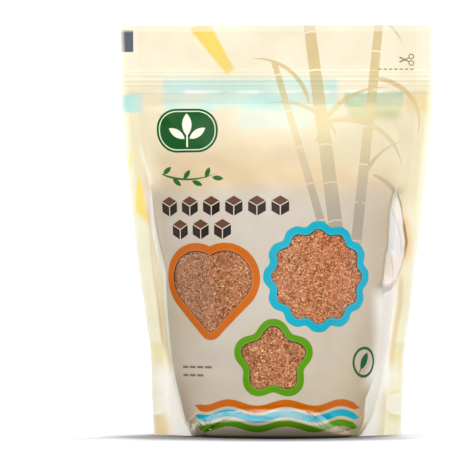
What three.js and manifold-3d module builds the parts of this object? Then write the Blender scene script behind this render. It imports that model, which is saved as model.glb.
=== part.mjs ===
// Filled stand-up pouch of sugar with a press-to-close strip, standing on its own base.
// Millimetres. +X is the pouch's width, the front faces -Y, +Z is up.
// Origin: middle of the base, on the surface that the pouch stands on.
import * as THREE from 'three';
import { mergeVertices } from 'three/addons/utils/BufferGeometryUtils.js';
import Module from 'manifold-3d';

// ---- driving dimensions -------------------------------------------------
const HEIGHT = 224;            // floor to top edge
const FLAT_HALF_WIDTH = 85.2;  // half the width of the empty, flat pouch
const SIDE_SEAL = 9;           // width of the flat heat-sealed fin on each side
const BASE_HALF_WIDTH = 67.4;  // half width across the side seals at the floor
const KNEE = 2;                // how far the side seal leans out over the gusset
const GUSSET_HEIGHT = 45;      // gusset fold above the floor, at the side seals
const FLAT_FROM = 180;         // above this height front and back lie together
const SHOULDER = 6;            // how far the filling pushes out inside the seals
const SHOULDER_RUN = 3.5;      // distance over which it does so
const U_SEAL_START = 43;       // half length of the base where it meets the floor
const U_SEAL_POWER = 0.55;     // curve of the seal between gusset and panel
const FOOT_ROUND = 8;          // height of the rolled edge round the base
const FOOT_TUCK = 3.4;         // how far that edge rolls in
const FIN_HALF = 0.45;         // half thickness of the sealed fins and the header
const SKIRT = 0.9;             // thickness of the free skirts at the base corners
const TOP_SEAL = 3.4;          // band sealed across the top
const TOP_SEAL_HALF = 0.6;
const TOP_CORNER = 2.2;        // radius of the top corners
const STRIP_LOW = 187;         // closing strip: flange from here
const STRIP_HIGH = 199;        //                to here
const STRIP_HALF = 0.75;       // half thickness over the flange
const RIDGES = [193, 196.4];   // its two pressed ridges
const RIDGE_HALF = 1.5;
const RIDGE_WIDTH = 1.5;

const BODY_COLUMNS = 14;       // columns of facets from the middle to a seal
const film = new THREE.MeshStandardMaterial({ color: 0xcdb99a, roughness: 0.42, metalness: 0 });
film.name = 'printed_film';

// ---- shape functions ----------------------------------------------------
const clamp = (v, a, b) => Math.min(b, Math.max(a, v));

// half width over the side seals: narrow at the filled base, full width where flat
function halfWidth(z) {
  let w;
  if (z < GUSSET_HEIGHT) w = BASE_HALF_WIDTH + KNEE * Math.max(z, 0) / GUSSET_HEIGHT;
  else {
    const t = clamp((z - GUSSET_HEIGHT) / (FLAT_FROM - GUSSET_HEIGHT), 0, 1);
    w = BASE_HALF_WIDTH + KNEE + (FLAT_HALF_WIDTH - BASE_HALF_WIDTH - KNEE) * (t + 0.12 * t * (1 - t));
  }
  const up = z - (HEIGHT - TOP_CORNER);
  if (up > 0) w -= TOP_CORNER * (1 - Math.sqrt(Math.max(0, 1 - (up / TOP_CORNER) ** 2)));
  return w;
}
const sealInner = (z) => halfWidth(Math.min(z, HEIGHT - TOP_CORNER)) - SIDE_SEAL;
const shoulder = (z) => SHOULDER * (1 - clamp((z - GUSSET_HEIGHT) / (FLAT_FROM - 15 - GUSSET_HEIGHT), 0, 1));
const fullness = (z) => 2.4 - 0.4 * clamp((z - GUSSET_HEIGHT) / (FLAT_FROM - GUSSET_HEIGHT), 0, 1);

// half length of the gusset film's seal line on the panel, at a height
function uSeal(z) {
  const a = sealInner(z);
  if (z >= GUSSET_HEIGHT) return a;
  return Math.min(a, U_SEAL_START + (sealInner(GUSSET_HEIGHT) - U_SEAL_START) * (Math.max(z, 0) / GUSSET_HEIGHT) ** U_SEAL_POWER);
}

// half depth of the filled body at (x, z) for a given half depth in the middle
function bulge(x, z, mid) {
  const a = sealInner(z), r = Math.abs(x) / a;
  if (r >= 1) return 0;
  const sh = Math.min(shoulder(z), mid);
  const inside = Math.max(0, uSeal(z) - Math.abs(x));
  return (mid - sh) * (1 - r ** fullness(z)) + sh * (1 - Math.exp(-inside / SHOULDER_RUN));
}

// the film's width never changes, so a narrower outline means a deeper pouch:
// find the middle half depth at which the section has the flat panel's length
const depthCache = new Map();
function middleDepth(z) {
  const key = Math.round(z * 100);
  if (depthCache.has(key)) return depthCache.get(key);
  let mid = 0;
  if (z < FLAT_FROM) {
    const a = sealInner(z), want = FLAT_HALF_WIDTH - SIDE_SEAL, steps = 400;
    let low = 0, high = 60;
    for (let k = 0; k < 40; k++) {
      mid = (low + high) / 2;
      let length = 0, py = bulge(0, z, mid);
      for (let i = 1; i <= steps; i++) {
        const y = bulge(a * i / steps, z, mid);
        length += Math.hypot(a / steps, y - py);
        py = y;
      }
      if (length < want) low = mid; else high = mid;
    }
  }
  if (z < FOOT_ROUND) mid -= FOOT_TUCK * (1 - Math.max(z, 0) / FOOT_ROUND) ** 2;
  depthCache.set(key, mid);
  return mid;
}

// half thickness where front and back lie together: fins, header, top seal, strip
function flatHalf(z) {
  let t = FIN_HALF;
  if (z > HEIGHT - TOP_SEAL) t = TOP_SEAL_HALF;
  if (z >= STRIP_LOW && z <= STRIP_HIGH) {
    t = STRIP_HALF;
    for (const r of RIDGES) t = Math.max(t, STRIP_HALF + (RIDGE_HALF - STRIP_HALF) * (1 - clamp(Math.abs(z - r) / RIDGE_WIDTH, 0, 1)));
  }
  return t;
}
const halfDepth = (x, z) => Math.max(flatHalf(z), bulge(x, z, middleDepth(z)));

// ---- facets -------------------------------------------------------------
// two facing sheets of rows x columns, closed round all four edges
function closedSheets(rows, columns, point) {
  const positions = [], index = [];
  const at = (side, j, i) => (side * rows + j) * columns + i;
  for (let side = 0; side < 2; side++)
    for (let j = 0; j < rows; j++)
      for (let i = 0; i < columns; i++) {
        const [x, y, z] = point(j, i);
        positions.push(x, side ? y : -y, z);
      }
  const quad = (a, b, c, d) => index.push(a, b, c, a, c, d);
  for (let j = 0; j + 1 < rows; j++)
    for (let i = 0; i + 1 < columns; i++) {
      quad(at(0, j, i), at(0, j, i + 1), at(0, j + 1, i + 1), at(0, j + 1, i));
      quad(at(1, j, i), at(1, j + 1, i), at(1, j + 1, i + 1), at(1, j, i + 1));
    }
  for (let j = 0; j + 1 < rows; j++) {
    quad(at(0, j, 0), at(0, j + 1, 0), at(1, j + 1, 0), at(1, j, 0));
    quad(at(0, j, columns - 1), at(1, j, columns - 1), at(1, j + 1, columns - 1), at(0, j + 1, columns - 1));
  }
  for (let i = 0; i + 1 < columns; i++) {
    quad(at(0, 0, i), at(1, 0, i), at(1, 0, i + 1), at(0, 0, i + 1));
    quad(at(0, rows - 1, i), at(0, rows - 1, i + 1), at(1, rows - 1, i + 1), at(1, rows - 1, i));
  }
  return { positions, index };
}

// heights of the rows: close together at the foot, the strip and the top
const heights = [];
for (const z of [0, 1, 2.4, 4.4, 7, 10.5, 15, 20, 25.5, 31, 36, 40.5]) heights.push(z);
for (let z = GUSSET_HEIGHT; z < 160; z += 7.6) heights.push(z);
for (let z = 160; z < FLAT_FROM; z += 4) heights.push(z);
heights.push(FLAT_FROM, STRIP_LOW - 0.6, STRIP_LOW);
for (const r of RIDGES) heights.push(r - RIDGE_WIDTH, r, r + RIDGE_WIDTH);
heights.push(STRIP_HIGH, STRIP_HIGH + 0.6, 210, HEIGHT - TOP_SEAL - 0.5, HEIGHT - TOP_SEAL + 0.1,
  HEIGHT - TOP_CORNER, HEIGHT - TOP_CORNER * 0.5, HEIGHT - TOP_CORNER * 0.15, HEIGHT);

// columns: bunched towards the seals, where the section turns most
const across = [];
for (let i = 0; i <= BODY_COLUMNS; i++) across.push(Math.sin(Math.PI / 2 * i / BODY_COLUMNS) ** 1.15);
const columns = [];
for (let i = BODY_COLUMNS; i > 0; i--) columns.push(-across[i]);
columns.push(0);
for (let i = 1; i <= BODY_COLUMNS; i++) columns.push(across[i]);
columns.unshift(-2, -1.5);
columns.push(1.5, 2);

const columnX = (c, z) => {
  const a = sealInner(z), s = Math.sign(c), m = Math.abs(c);
  return m <= 1 ? s * a * m : s * (a + (halfWidth(z) - a) * (m - 1));
};
const body = closedSheets(heights.length, columns.length, (j, i) => {
  const z = heights[j], x = columnX(columns[i], z);
  return [x, halfDepth(x, z), z];
});

// the free space between the front and back skirts under the gusset film, one at each end
const recessTop = 33, recessRows = 12, recessColumns = 9;
function recess(sign) {
  const made = closedSheets(recessRows, recessColumns, (j, i) => {
    const z = j === 0 ? -2 : recessTop * ((j - 1) / (recessRows - 2)) ** 1.3;
    const x0 = uSeal(z) + 1.2, x1 = sealInner(Math.max(z, 0)) - 1.4;
    const x = x0 + (x1 - x0) * i / (recessColumns - 1);
    return [sign * x, Math.max(0.25, bulge(x, Math.max(z, 0), middleDepth(Math.max(z, 0))) - SKIRT), z];
  });
  if (sign < 0) for (let k = 0; k < made.index.length; k += 3) {
    const t = made.index[k + 1]; made.index[k + 1] = made.index[k + 2]; made.index[k + 2] = t;
  }
  return made;
}

const wasm = await Module();
wasm.setup();
const solidOf = ({ positions, index }) => new wasm.Manifold(new wasm.Mesh({
  numProp: 3, vertProperties: new Float32Array(positions), triVerts: new Uint32Array(index),
}));
const pouchSolid = solidOf(body).subtract(solidOf(recess(1))).subtract(solidOf(recess(-1)));

function geometryOf(solid) {
  const { vertProperties, triVerts, numProp } = solid.getMesh();
  const points = new Float32Array(vertProperties.length / numProp * 3);
  for (let i = 0; i < points.length / 3; i++)
    for (let k = 0; k < 3; k++) points[i * 3 + k] = vertProperties[i * numProp + k];
  const made = new THREE.BufferGeometry();
  made.setAttribute('position', new THREE.BufferAttribute(points, 3));
  made.setIndex(Array.from(triVerts));
  const merged = mergeVertices(made, 1e-4);
  merged.computeVertexNormals();
  return merged;
}

const pouch = new THREE.Mesh(geometryOf(pouchSolid), film);
pouch.name = 'pouch';

const model = new THREE.Group();
model.name = 'pouch_of_sugar';
model.add(pouch);
export default model;
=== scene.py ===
import math

import bpy
import numpy as np
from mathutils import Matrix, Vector


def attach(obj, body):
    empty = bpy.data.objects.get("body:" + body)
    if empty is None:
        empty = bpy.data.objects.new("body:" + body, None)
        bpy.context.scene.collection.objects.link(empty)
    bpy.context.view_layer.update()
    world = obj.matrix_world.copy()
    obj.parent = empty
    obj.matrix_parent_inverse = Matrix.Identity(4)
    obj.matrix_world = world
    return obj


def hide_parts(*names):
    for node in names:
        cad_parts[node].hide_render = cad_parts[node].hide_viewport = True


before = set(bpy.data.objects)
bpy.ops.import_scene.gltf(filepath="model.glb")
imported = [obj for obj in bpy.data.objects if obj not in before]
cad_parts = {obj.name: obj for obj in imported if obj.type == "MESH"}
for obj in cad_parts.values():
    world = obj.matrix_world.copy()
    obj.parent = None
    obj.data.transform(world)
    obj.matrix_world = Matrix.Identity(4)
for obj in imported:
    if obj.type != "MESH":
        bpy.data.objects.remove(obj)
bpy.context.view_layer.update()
MM = 0.001

# ======================================================================
# The pouch's shape, in millimetres: +X width, front faces -Y, +Z up
# ======================================================================
HEIGHT, FLAT, SEAL = 224.0, 85.2, 9.0
BASE, KNEE, GUSSET, FLAT_FROM = 67.4, 2.0, 45.0, 180.0
SHOULDER, SHOULDER_RUN = 6.0, 3.5
U_START, U_POWER = 43.0, 0.55
FOOT_ROUND, FOOT_TUCK = 8.0, 3.4
TOP_CORNER = 2.2
BODY = FLAT - SEAL                 # flat half width between the side seals
FILM = 0.20                        # film thickness
FIN = 0.23                         # outer face of a sealed fin
FILL = 133.0                       # level of the sugar
STRIP = (187.0, 199.4)             # flange of the closing strip


def smooth(a, b, v):
    t = np.clip((np.asarray(v, float) - a) / (b - a), 0, 1)
    return t * t * (3 - 2 * t)


def half_width(z):
    z = np.asarray(z, float)
    t = np.clip((z - GUSSET) / (FLAT_FROM - GUSSET), 0, 1)
    high = BASE + KNEE + (FLAT - BASE - KNEE) * (t + 0.12 * t * (1 - t))
    w = np.where(z < GUSSET, BASE + KNEE * np.maximum(z, 0) / GUSSET, high)
    up = np.clip((z - (HEIGHT - TOP_CORNER)) / TOP_CORNER, 0, 1)
    return w - TOP_CORNER * (1 - np.sqrt(1 - up * up))


def seal_inner(z):
    return half_width(np.minimum(z, HEIGHT - TOP_CORNER)) - SEAL


def u_seal(z):
    z = np.asarray(z, float)
    top = float(seal_inner(GUSSET))
    low = U_START + (top - U_START) * (np.clip(z, 0, GUSSET) / GUSSET) ** U_POWER
    return np.minimum(seal_inner(z), np.where(z < GUSSET, low, 1e3))


def bulge(x, z, mid):
    a = seal_inner(z)
    r = np.clip(np.abs(x) / a, 0, 1)
    run = np.clip((z - GUSSET) / (FLAT_FROM - GUSSET), 0, 1)
    sh = np.minimum(SHOULDER * (1 - np.clip((z - GUSSET) / (FLAT_FROM - 15 - GUSSET), 0, 1)), mid)
    inside = np.maximum(0, u_seal(z) - np.abs(x))
    return (mid - sh) * (1 - r ** (2.4 - 0.4 * run)) + sh * (1 - np.exp(-inside / SHOULDER_RUN))


# depth in the middle, from the film's fixed width, and where each point of the flat film ends up
Z_TABLE = np.arange(0.0, HEIGHT + 0.5, 1.0)
U_TABLE = np.linspace(0, BODY, 240)


def tables():
    z = Z_TABLE[:, None]
    a = seal_inner(z)
    x = a * np.linspace(0, 1, 500)[None, :]
    low, high = np.zeros_like(z), np.full_like(z, 60.0)
    for _ in range(40):
        mid = (low + high) / 2
        y = bulge(x, z, mid)
        length = np.hypot(np.diff(x, axis=1), np.diff(y, axis=1)).sum(axis=1, keepdims=True)
        low, high = np.where(length < BODY, mid, low), np.where(length < BODY, high, mid)
    mid = np.where(z < FLAT_FROM, (low + high) / 2, 0)
    mid = mid - FOOT_TUCK * np.clip(1 - z / FOOT_ROUND, 0, 1) ** 2
    y = bulge(x, z, mid)
    rows = []
    for k in range(len(Z_TABLE)):
        run = np.concatenate([[0], np.cumsum(np.hypot(np.diff(x[k]), np.diff(y[k])))])
        rows.append(np.interp(U_TABLE, run / run[-1] * BODY, x[k]))
    return mid[:, 0], np.array(rows)


MID_TABLE, X_TABLE = tables()


def x_of(u, z):
    """where a point of the flat film, u across and z up, is across the standing pouch"""
    u, z = np.broadcast_arrays(np.asarray(u, float), np.asarray(z, float))
    m = np.minimum(np.abs(u), BODY)
    fz = np.clip(z, 0, Z_TABLE[-1] - 1e-6)
    k = np.minimum(fz.astype(int), len(Z_TABLE) - 2)
    fu = m / BODY * (len(U_TABLE) - 1)
    i = np.minimum(fu.astype(int), len(U_TABLE) - 2)
    tz, tu = fz - k, fu - i
    x = ((X_TABLE[k, i] * (1 - tu) + X_TABLE[k, i + 1] * tu) * (1 - tz)
         + (X_TABLE[k + 1, i] * (1 - tu) + X_TABLE[k + 1, i + 1] * tu) * tz)
    fin = np.clip((np.abs(u) - BODY) / SEAL, 0, 1)
    x = np.where(np.abs(u) > BODY, seal_inner(z) + (half_width(z) - seal_inner(z)) * fin, x)
    return np.sign(u) * x


NOISE_GRIDS = {}


def noise(x, y, size, seed):
    """smooth random field, about -1 to 1, with features of the given size"""
    if seed not in NOISE_GRIDS:
        NOISE_GRIDS[seed] = np.random.RandomState(seed).rand(64, 64) * 2 - 1
    grid = NOISE_GRIDS[seed]
    fx, fy = np.asarray(x, float) / size + 31.7, np.asarray(y, float) / size + 17.3
    ix, iy = np.floor(fx).astype(int), np.floor(fy).astype(int)
    tx, ty = fx - ix, fy - iy
    tx, ty = tx * tx * (3 - 2 * tx), ty * ty * (3 - 2 * ty)
    g = lambda a, b: grid[a % 64, b % 64]
    return ((g(ix, iy) * (1 - tx) + g(ix + 1, iy) * tx) * (1 - ty)
            + (g(ix, iy + 1) * (1 - tx) + g(ix + 1, iy + 1) * tx) * ty)


def line_distance(x, z, points):
    """signed distance to a polyline, and how far along it (0 to 1) the nearest point is"""
    best = np.full(np.shape(x), 1e9)
    side = np.zeros(np.shape(x))
    along = np.zeros(np.shape(x))
    n = len(points) - 1
    for k in range(n):
        (ax, az), (bx, bz) = points[k], points[k + 1]
        dx, dz = bx - ax, bz - az
        L = math.hypot(dx, dz)
        t = np.clip(((x - ax) * dx + (z - az) * dz) / L ** 2, 0, 1)
        px, pz = x - (ax + t * dx), z - (az + t * dz)
        d = np.hypot(px, pz)
        s = np.where(dx * pz - dz * px >= 0, 1.0, -1.0)
        near = d < best
        best, side, along = np.where(near, d, best), np.where(near, s, side), np.where(near, (k + t) / n, along)
    return best * side, along


def strip_relief(z):
    """the closing strip's flange, with the pressed rib and groove that click together"""
    flange = smooth(STRIP[0] - 0.35, STRIP[0] + 0.35, z) * (1 - smooth(STRIP[1] - 0.4, STRIP[1] + 0.4, z))
    ribs = (np.exp(-(np.abs(z - 194.0) / 0.72) ** 3) + 0.62 * np.exp(-(np.abs(z - 196.6) / 0.5) ** 3)
            + 0.62 * np.exp(-(np.abs(z - 191.5) / 0.5) ** 3) + 0.25 * np.exp(-(np.abs(z - 189.0) / 0.5) ** 2))
    return 0.22 * flange + 0.19 * ribs


def along(v, points):
    """piecewise straight curve through (v, value) points given in order of rising v"""
    return np.interp(v, [q[0] for q in points], [q[1] for q in points])


# edges of the sugar behind the front film: (height, flat coordinate)
EDGE_LEFT = [(0, -57.0), (7.4, -60.2), (18.3, -62.5), (31.2, -66.7), (45.3, -68.6), (61.7, -68.4), (78.2, -67.5), (88.1, -66.2), (97.3, -68.5), (108.3, -71.2), (118, -72.4), (133, -72.8), (150, -73.0)]
EDGE_RIGHT = [(0, 51.6), (7.5, 53.2), (20.5, 54.0), (29.5, 59.7), (40, 66.6), (56.4, 67.1), (72.8, 64.6), (84, 63.3), (99, 64.1), (103, 65.4), (114, 65.2), (123, 65.1), (133, 67.1), (150, 70.0)]
SEAM_LEFT = [(20, -74.5), (31.3, -76.4), (47.8, -78.0), (58.8, -77.8), (72.5, -77.7), (86.3, -78.2), (100, -77.7), (113.8, -77.1), (124.8, -77.0), (140, -76.6)]
SEAM_RIGHT = [(28.6, 78.6), (45, 78.5), (55, 78.8), (64, 79.2), (72, 79.7), (80, 79.0), (90, 77.8)]
LEAF_CREASE = [(94, 78.0), (107, 75.3), (115, 71.0), (122, 66.6), (128, 65.4)]
LEAF_RIGHT = [(78, 69.5), (84.7, 76.0), (90.2, 77.6), (97.3, 79.0), (105.6, 79.1), (116.5, 76.1), (124.8, 72.3), (130.3, 69.5), (134, 68.0)]
EDGE_BACK = [(0, 52.0), (7.5, 56.0), (20.5, 62.0), (31, 66.5), (45, 69.5), (72, 69.0), (100, 71.0), (120, 72.6), (150, 73.0)]
# where the film rolls under at the foot: (across, height) of the upper and lower edge of the roll
ROLL_HIGH = [(-58.8, 1.4), (-45.7, 9.0), (-37.0, 12.0), (-28.7, 13.6), (-11.8, 14.8), (12.3, 14.8), (18.9, 14.2), (24.6, 11.4), (29.4, 7.0), (39.7, 2.2), (50, 1.0)]
ROLL_LOW = [(-61.4, 0.4), (-49.1, 4.3), (-38.4, 7.4), (-25.8, 8.6), (-9.1, 9.0), (6.9, 9.1), (15.0, 7.8), (20.7, 5.6), (28.0, 3.4), (38.0, 1.4), (50, 0.4)]


def details(side, u, x, z):
    """what the film does on top of the plain form, outwards in mm; side -1 is the front"""
    body = smooth(BODY + 0.5, BODY - 7, np.abs(u)) * smooth(186, 172, z)
    seed = 11 if side < 0 else 47
    low = smooth(6, 30, z)
    d = body * low * (0.55 * noise(x, z, 26, seed) + 0.25 * noise(x, z, 11, seed + 1))
    # slack film over the sugar: it sinks a little above the fill level and wanders
    slack = smooth(FILL - 8, FILL + 16, z) * smooth(184, 168, z) * body
    d += slack * (-0.9 + 0.8 * noise(x, z, 19, seed + 2) + 0.25 * noise(x * 0.5, z, 5.5, seed + 3))
    # soft folds that run down from the closing strip's ends
    for s in (-1, 1):
        for k, (x0, x1, depth) in enumerate(((70, 54, 0.55), (62, 38, 0.35), (74, 66, 0.5))):
            dist, t = line_distance(x * s, z, [(x0, 184), (x1, 150 - 6 * k)])
            w = 2.0 + 3.5 * t
            d -= depth * np.exp(-(dist / w) ** 2) * np.sin(np.pi * np.clip(t, 0.02, 0.98)) * body
    # the fill's edge along the side seals: the film is pinched flat there
    inner = BODY - np.abs(u)
    pinch = smooth(0, 4, inner) * smooth(13, 7, inner) * smooth(140, 120, z) * smooth(44, 60, z)
    d -= 0.55 * pinch * (1 + 0.5 * noise(x, z, 9, seed + 4))
    # fins wave slightly
    fin = smooth(BODY - 1, BODY + 2, np.abs(u))
    if side < 0:
        room0 = bulge(x, z, np.interp(z, Z_TABLE, MID_TABLE))
        # left flank: a soft ridge along the sugar's edge, a hollow between it and the side seal
        el = u - along(z, EDGE_LEFT)
        run = smooth(40, 60, z) * smooth(134, 118, z)
        d += run * 0.95 * np.exp(-((el - 1.2) / 2.2) ** 2)
        d -= run * 1.3 * np.exp(-((el + 3.4) / 2.4) ** 2) * smooth(70, 92, z)
        d -= run * 0.5 * np.exp(-((el + 5.2) / 1.6) ** 2)
        # right flank: a leaf-shaped pinch, a small fold under it, and a long hollow down to the foot
        er, lr = u - along(z, EDGE_RIGHT), u - along(z, LEAF_RIGHT)
        leafy = smooth(-0.9, 1.1, er) * smooth(80, 87, z) * smooth(136, 126, z)
        d -= leafy * 0.80 * room0
        d += leafy * 0.8 * np.exp(-((lr + 0.9) / 1.3) ** 2)
        mid_line = u - along(z, [(84, 68.5), (96, 69.5), (110, 70.8), (128, 69.0)])
        d += leafy * 0.55 * np.exp(-(mid_line / 1.5) ** 2)
        d += 1.1 * np.exp(-((er + 2.0) / 2.0) ** 2) * smooth(78, 90, z) * smooth(138, 122, z)
        dist, t = line_distance(u, z, [(61.0, 83.5), (68.0, 84.0), (75.0, 82.0)])
        d += 0.25 * np.exp(-(dist / 2.0) ** 2)
        dist, t = line_distance(u, z, [(60.5, 79.6), (68.0, 78.6), (73.5, 80.6)])
        d -= 0.45 * np.exp(-(dist / 1.6) ** 2)
        dist, t = line_distance(u, z, [(65.0, 98.0), (67.5, 92.0), (68.2, 85.0)])
        d += 0.7 * np.exp(-(dist / 1.2) ** 2) * np.sin(np.pi * np.clip(t, 0.001, 0.999))
        run = smooth(26, 44, z) * smooth(80, 70, z)
        d += run * 0.35 * np.exp(-((er + 1.0) / 4.0) ** 2)
        d -= run * 0.45 * np.exp(-((er - 6.0) / 3.6) ** 2)
        # the rolled foot: the film steps out over the roll, then turns under
        high, low_z = along(u, ROLL_HIGH), along(u, ROLL_LOW)
        gate = smooth(-60, -50, u) * smooth(50, 40, u)
        step = smooth(high + 0.7, low_z - 0.3, z)
        d += gate * (1.0 * step - 0.36 * np.exp(-((z - high - 1.0) / 1.0) ** 2) - 0.50 * np.maximum(0, low_z - 0.4 - z))
        # crumpled film at the base corners
        for (p, q, depth, w) in (((-55, 20), (-43, 9), 0.55, 1.2), ((-50, 15), (-38, 4), -0.7, 1.3), ((-45, 10), (-42, 1.5), 0.6, 1.0), ((-38, 12.5), (-42, 3), 0.7, 1.0),
                                 ((-56, 12), (-50, 1), -0.5, 1.2), ((-33, 12), (-36, 6), -0.35, 1.1), ((-58, 26), (-54, 14), -0.35, 1.8)):
            dist, t = line_distance(u, z, [p, q])
            d += 0.6 * depth * np.exp(-(np.abs(dist) / (1.5 * w)) ** 1.6) * np.sin(np.pi * np.clip(t, 0.05, 0.95)) ** 0.5
        for (p, q, depth, w) in (((16, 15), (24, 9), 0.7, 1.0), ((19.5, 14.5), (21, 6.5), 0.55, 0.9), ((24, 12), (33, 4), -0.6, 1.2), ((28, 7.5), (39, 2.5), 0.5, 1.1),
                                 ((50, 24), (52, 8), -0.45, 1.6), ((46, 14), (49, 3), 0.4, 1.4), ((40, 30), (46, 14), -0.3, 2.4)):
            dist, t = line_distance(u, z, [p, q])
            d += 0.6 * depth * np.exp(-(np.abs(dist) / (1.5 * w)) ** 1.6) * np.sin(np.pi * np.clip(t, 0.05, 0.95)) ** 0.5
    else:
        high, low_z = along(-u, ROLL_HIGH) * 0.9, along(-u, ROLL_LOW) * 0.85
        gate = smooth(60, 50, u) * smooth(-50, -40, u)
        d += gate * (0.9 * smooth(high + 0.7, low_z - 0.3, z) - 0.60 * np.maximum(0, low_z - 0.4 - z))
        for pts, depth, w in (([(60, 120), (63, 95), (62, 74)], 1.1, 1.7), ([(-66, 128), (-62, 106), (-63, 88)], 1.4, 2.2), ([(-40, 150), (-12, 141), (20, 146)], 0.6, 3.0)):
            dist, t = line_distance(x, z, pts)
            d -= depth * np.exp(-(dist / w) ** 2) * np.sin(np.pi * np.clip(t, 0.001, 0.999)) ** 0.7
    # never deeper than the film allows near the seals
    form = bulge(x, z, np.interp(z, Z_TABLE, MID_TABLE))
    room = np.clip(form / 3.0, 0, 1)
    d = np.where(z > 24, np.maximum(d, -np.maximum(form - 2.6, 0.5 * form)), d)
    return d * np.where(d < 0, room, smooth(0.0, 0.6, room))


def fin_wave(x, z):
    """both films of a fin, and the header, lean together"""
    edge = smooth(40, 85, np.abs(x))
    return (0.30 * noise(x * 0.4, z, 34, 5) * edge * smooth(0, 20, z)
            + 0.55 * smooth(196, 224, z) * noise(x, z * 0.2, 48, 6)
            + 0.10 * smooth(186, 200, z) * noise(x, z, 15, 9)) * smooth(1.0, 0.0, np.interp(z, Z_TABLE, MID_TABLE) / 40 * smooth(BODY, BODY - 20, np.abs(x)))


def spots(x, z):
    """round tack welds that hold the fins together at the base"""
    s = 0
    for cx, cz in ((66.2, 16.5), (-66.2, 16.5)):
        r = np.hypot(x - cx, z - cz)
        s = s - 0.10 * smooth(5.6, 5.0, r) + 0.08 * np.exp(-((r - 5.7) / 0.5) ** 2)
    return s


def film_point(side, u, z, inset=0.0):
    """a point of the front (side -1) or back (side 1) film's outer face"""
    x = x_of(u, z)
    b = bulge(x, z, np.interp(z, Z_TABLE, MID_TABLE))
    t = FIN + strip_relief(z) * smooth(FLAT - 0.6, FLAT - 2.4, np.abs(u)) + 0.04 * smooth(HEIGHT - 3.6, HEIGHT - 3.0, z)
    k = 0.6
    y = t + 0.5 * ((b - t) + np.sqrt((b - t) ** 2 + k * k)) - 0.20
    y = y + details(side, u, x, z) + spots(x, z) * smooth(BODY - 4, BODY, np.abs(u))
    # the cut edges are not quite straight
    x = x + smooth(BODY, FLAT, np.abs(u)) * (0.36 * noise(z, np.sign(u) * 9.0, 27, 77) + 0.14 * noise(z, np.sign(u) * 5.0, 9, 78))
    return np.stack([x, side * y + fin_wave(x, z), z], axis=-1)


def normals_of(point, u, z):
    e = 0.15
    du = point(u + e, z) - point(u - e, z)
    dz = point(u, z + e) - point(u, z - e)
    n = np.cross(du, dz)
    return n / np.maximum(np.linalg.norm(n, axis=-1, keepdims=True), 1e-9)


# ======================================================================
# Shapes of the print, written once for numpy and for shader nodes
# ======================================================================
class Numbers:
    sqrt, sin, cos, absolute = staticmethod(np.sqrt), staticmethod(np.sin), staticmethod(np.cos), staticmethod(np.abs)
    minimum, maximum = staticmethod(np.minimum), staticmethod(np.maximum)
    atan2 = staticmethod(np.arctan2)

    @staticmethod
    def above(a, b):
        return (a > b) * 1.0


def lobed(B, u, v, c, R, n, amp, turn=0.0):
    """round outline with n soft lobes; signed distance, negative inside"""
    x, y = u - c[0], v - c[1]
    r = B.sqrt(x * x + y * y + 1e-4)
    th = (B.atan2(y, x) + turn) * n
    g = B.sin(th) * (amp * n) / r
    return (r - (B.cos(th) * amp + R)) / B.sqrt(g * g + 1.0)


def heart(B, u, v, c, size, soft):
    x = B.absolute((u - c[0]) * (1 / size))
    y = (v - c[1]) * (1 / size) + 0.55
    m = B.maximum(x + y, 0.0) * 0.5
    top = B.sqrt((x - 0.25) * (x - 0.25) + (y - 0.75) * (y - 0.75)) - 0.353553
    low = B.sqrt(B.minimum(x * x + (y - 1.0) * (y - 1.0), (x - m) * (x - m) + (y - m) * (y - m))) * (B.above(x, y) * 2.0 - 1.0)
    pick = B.above(x + y, 1.0)
    return (top * pick + low * (1.0 - pick)) * size - soft


def window_a(B, u, v):     # round cutter with scalloped edge
    return lobed(B, u, v, (22.5, 86.0), 24.2, 12, 1.25)


def window_b(B, u, v):     # heart cutter
    return heart(B, u, v, (-37.0, 78.0), 34.0, 3.0)


def window_c(B, u, v):     # blossom cutter
    return lobed(B, u, v, (-2.0, 41.5), 15.6, 5, 2.3, math.radians(-90))


WINDOWS = {"a": window_a, "b": window_b, "c": window_c}

# ======================================================================
# Meshes
# ======================================================================
def grid_mesh(us, zs):
    nu, nz = len(us), len(zs)
    uu, zz = np.meshgrid(us, zs)
    pts = np.stack([uu.ravel(), zz.ravel()], axis=1)
    i, j = np.meshgrid(np.arange(nu - 1), np.arange(nz - 1))
    a = (j * nu + i).ravel()
    b, c, d = a + 1, a + nu + 1, a + nu
    flip = ((i + j) % 2 == 0).ravel()
    t1 = np.where(flip[:, None], np.stack([a, b, c], 1), np.stack([a, b, d], 1))
    t2 = np.where(flip[:, None], np.stack([a, c, d], 1), np.stack([b, c, d], 1))
    return pts, np.concatenate([t1, t2])


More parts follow.
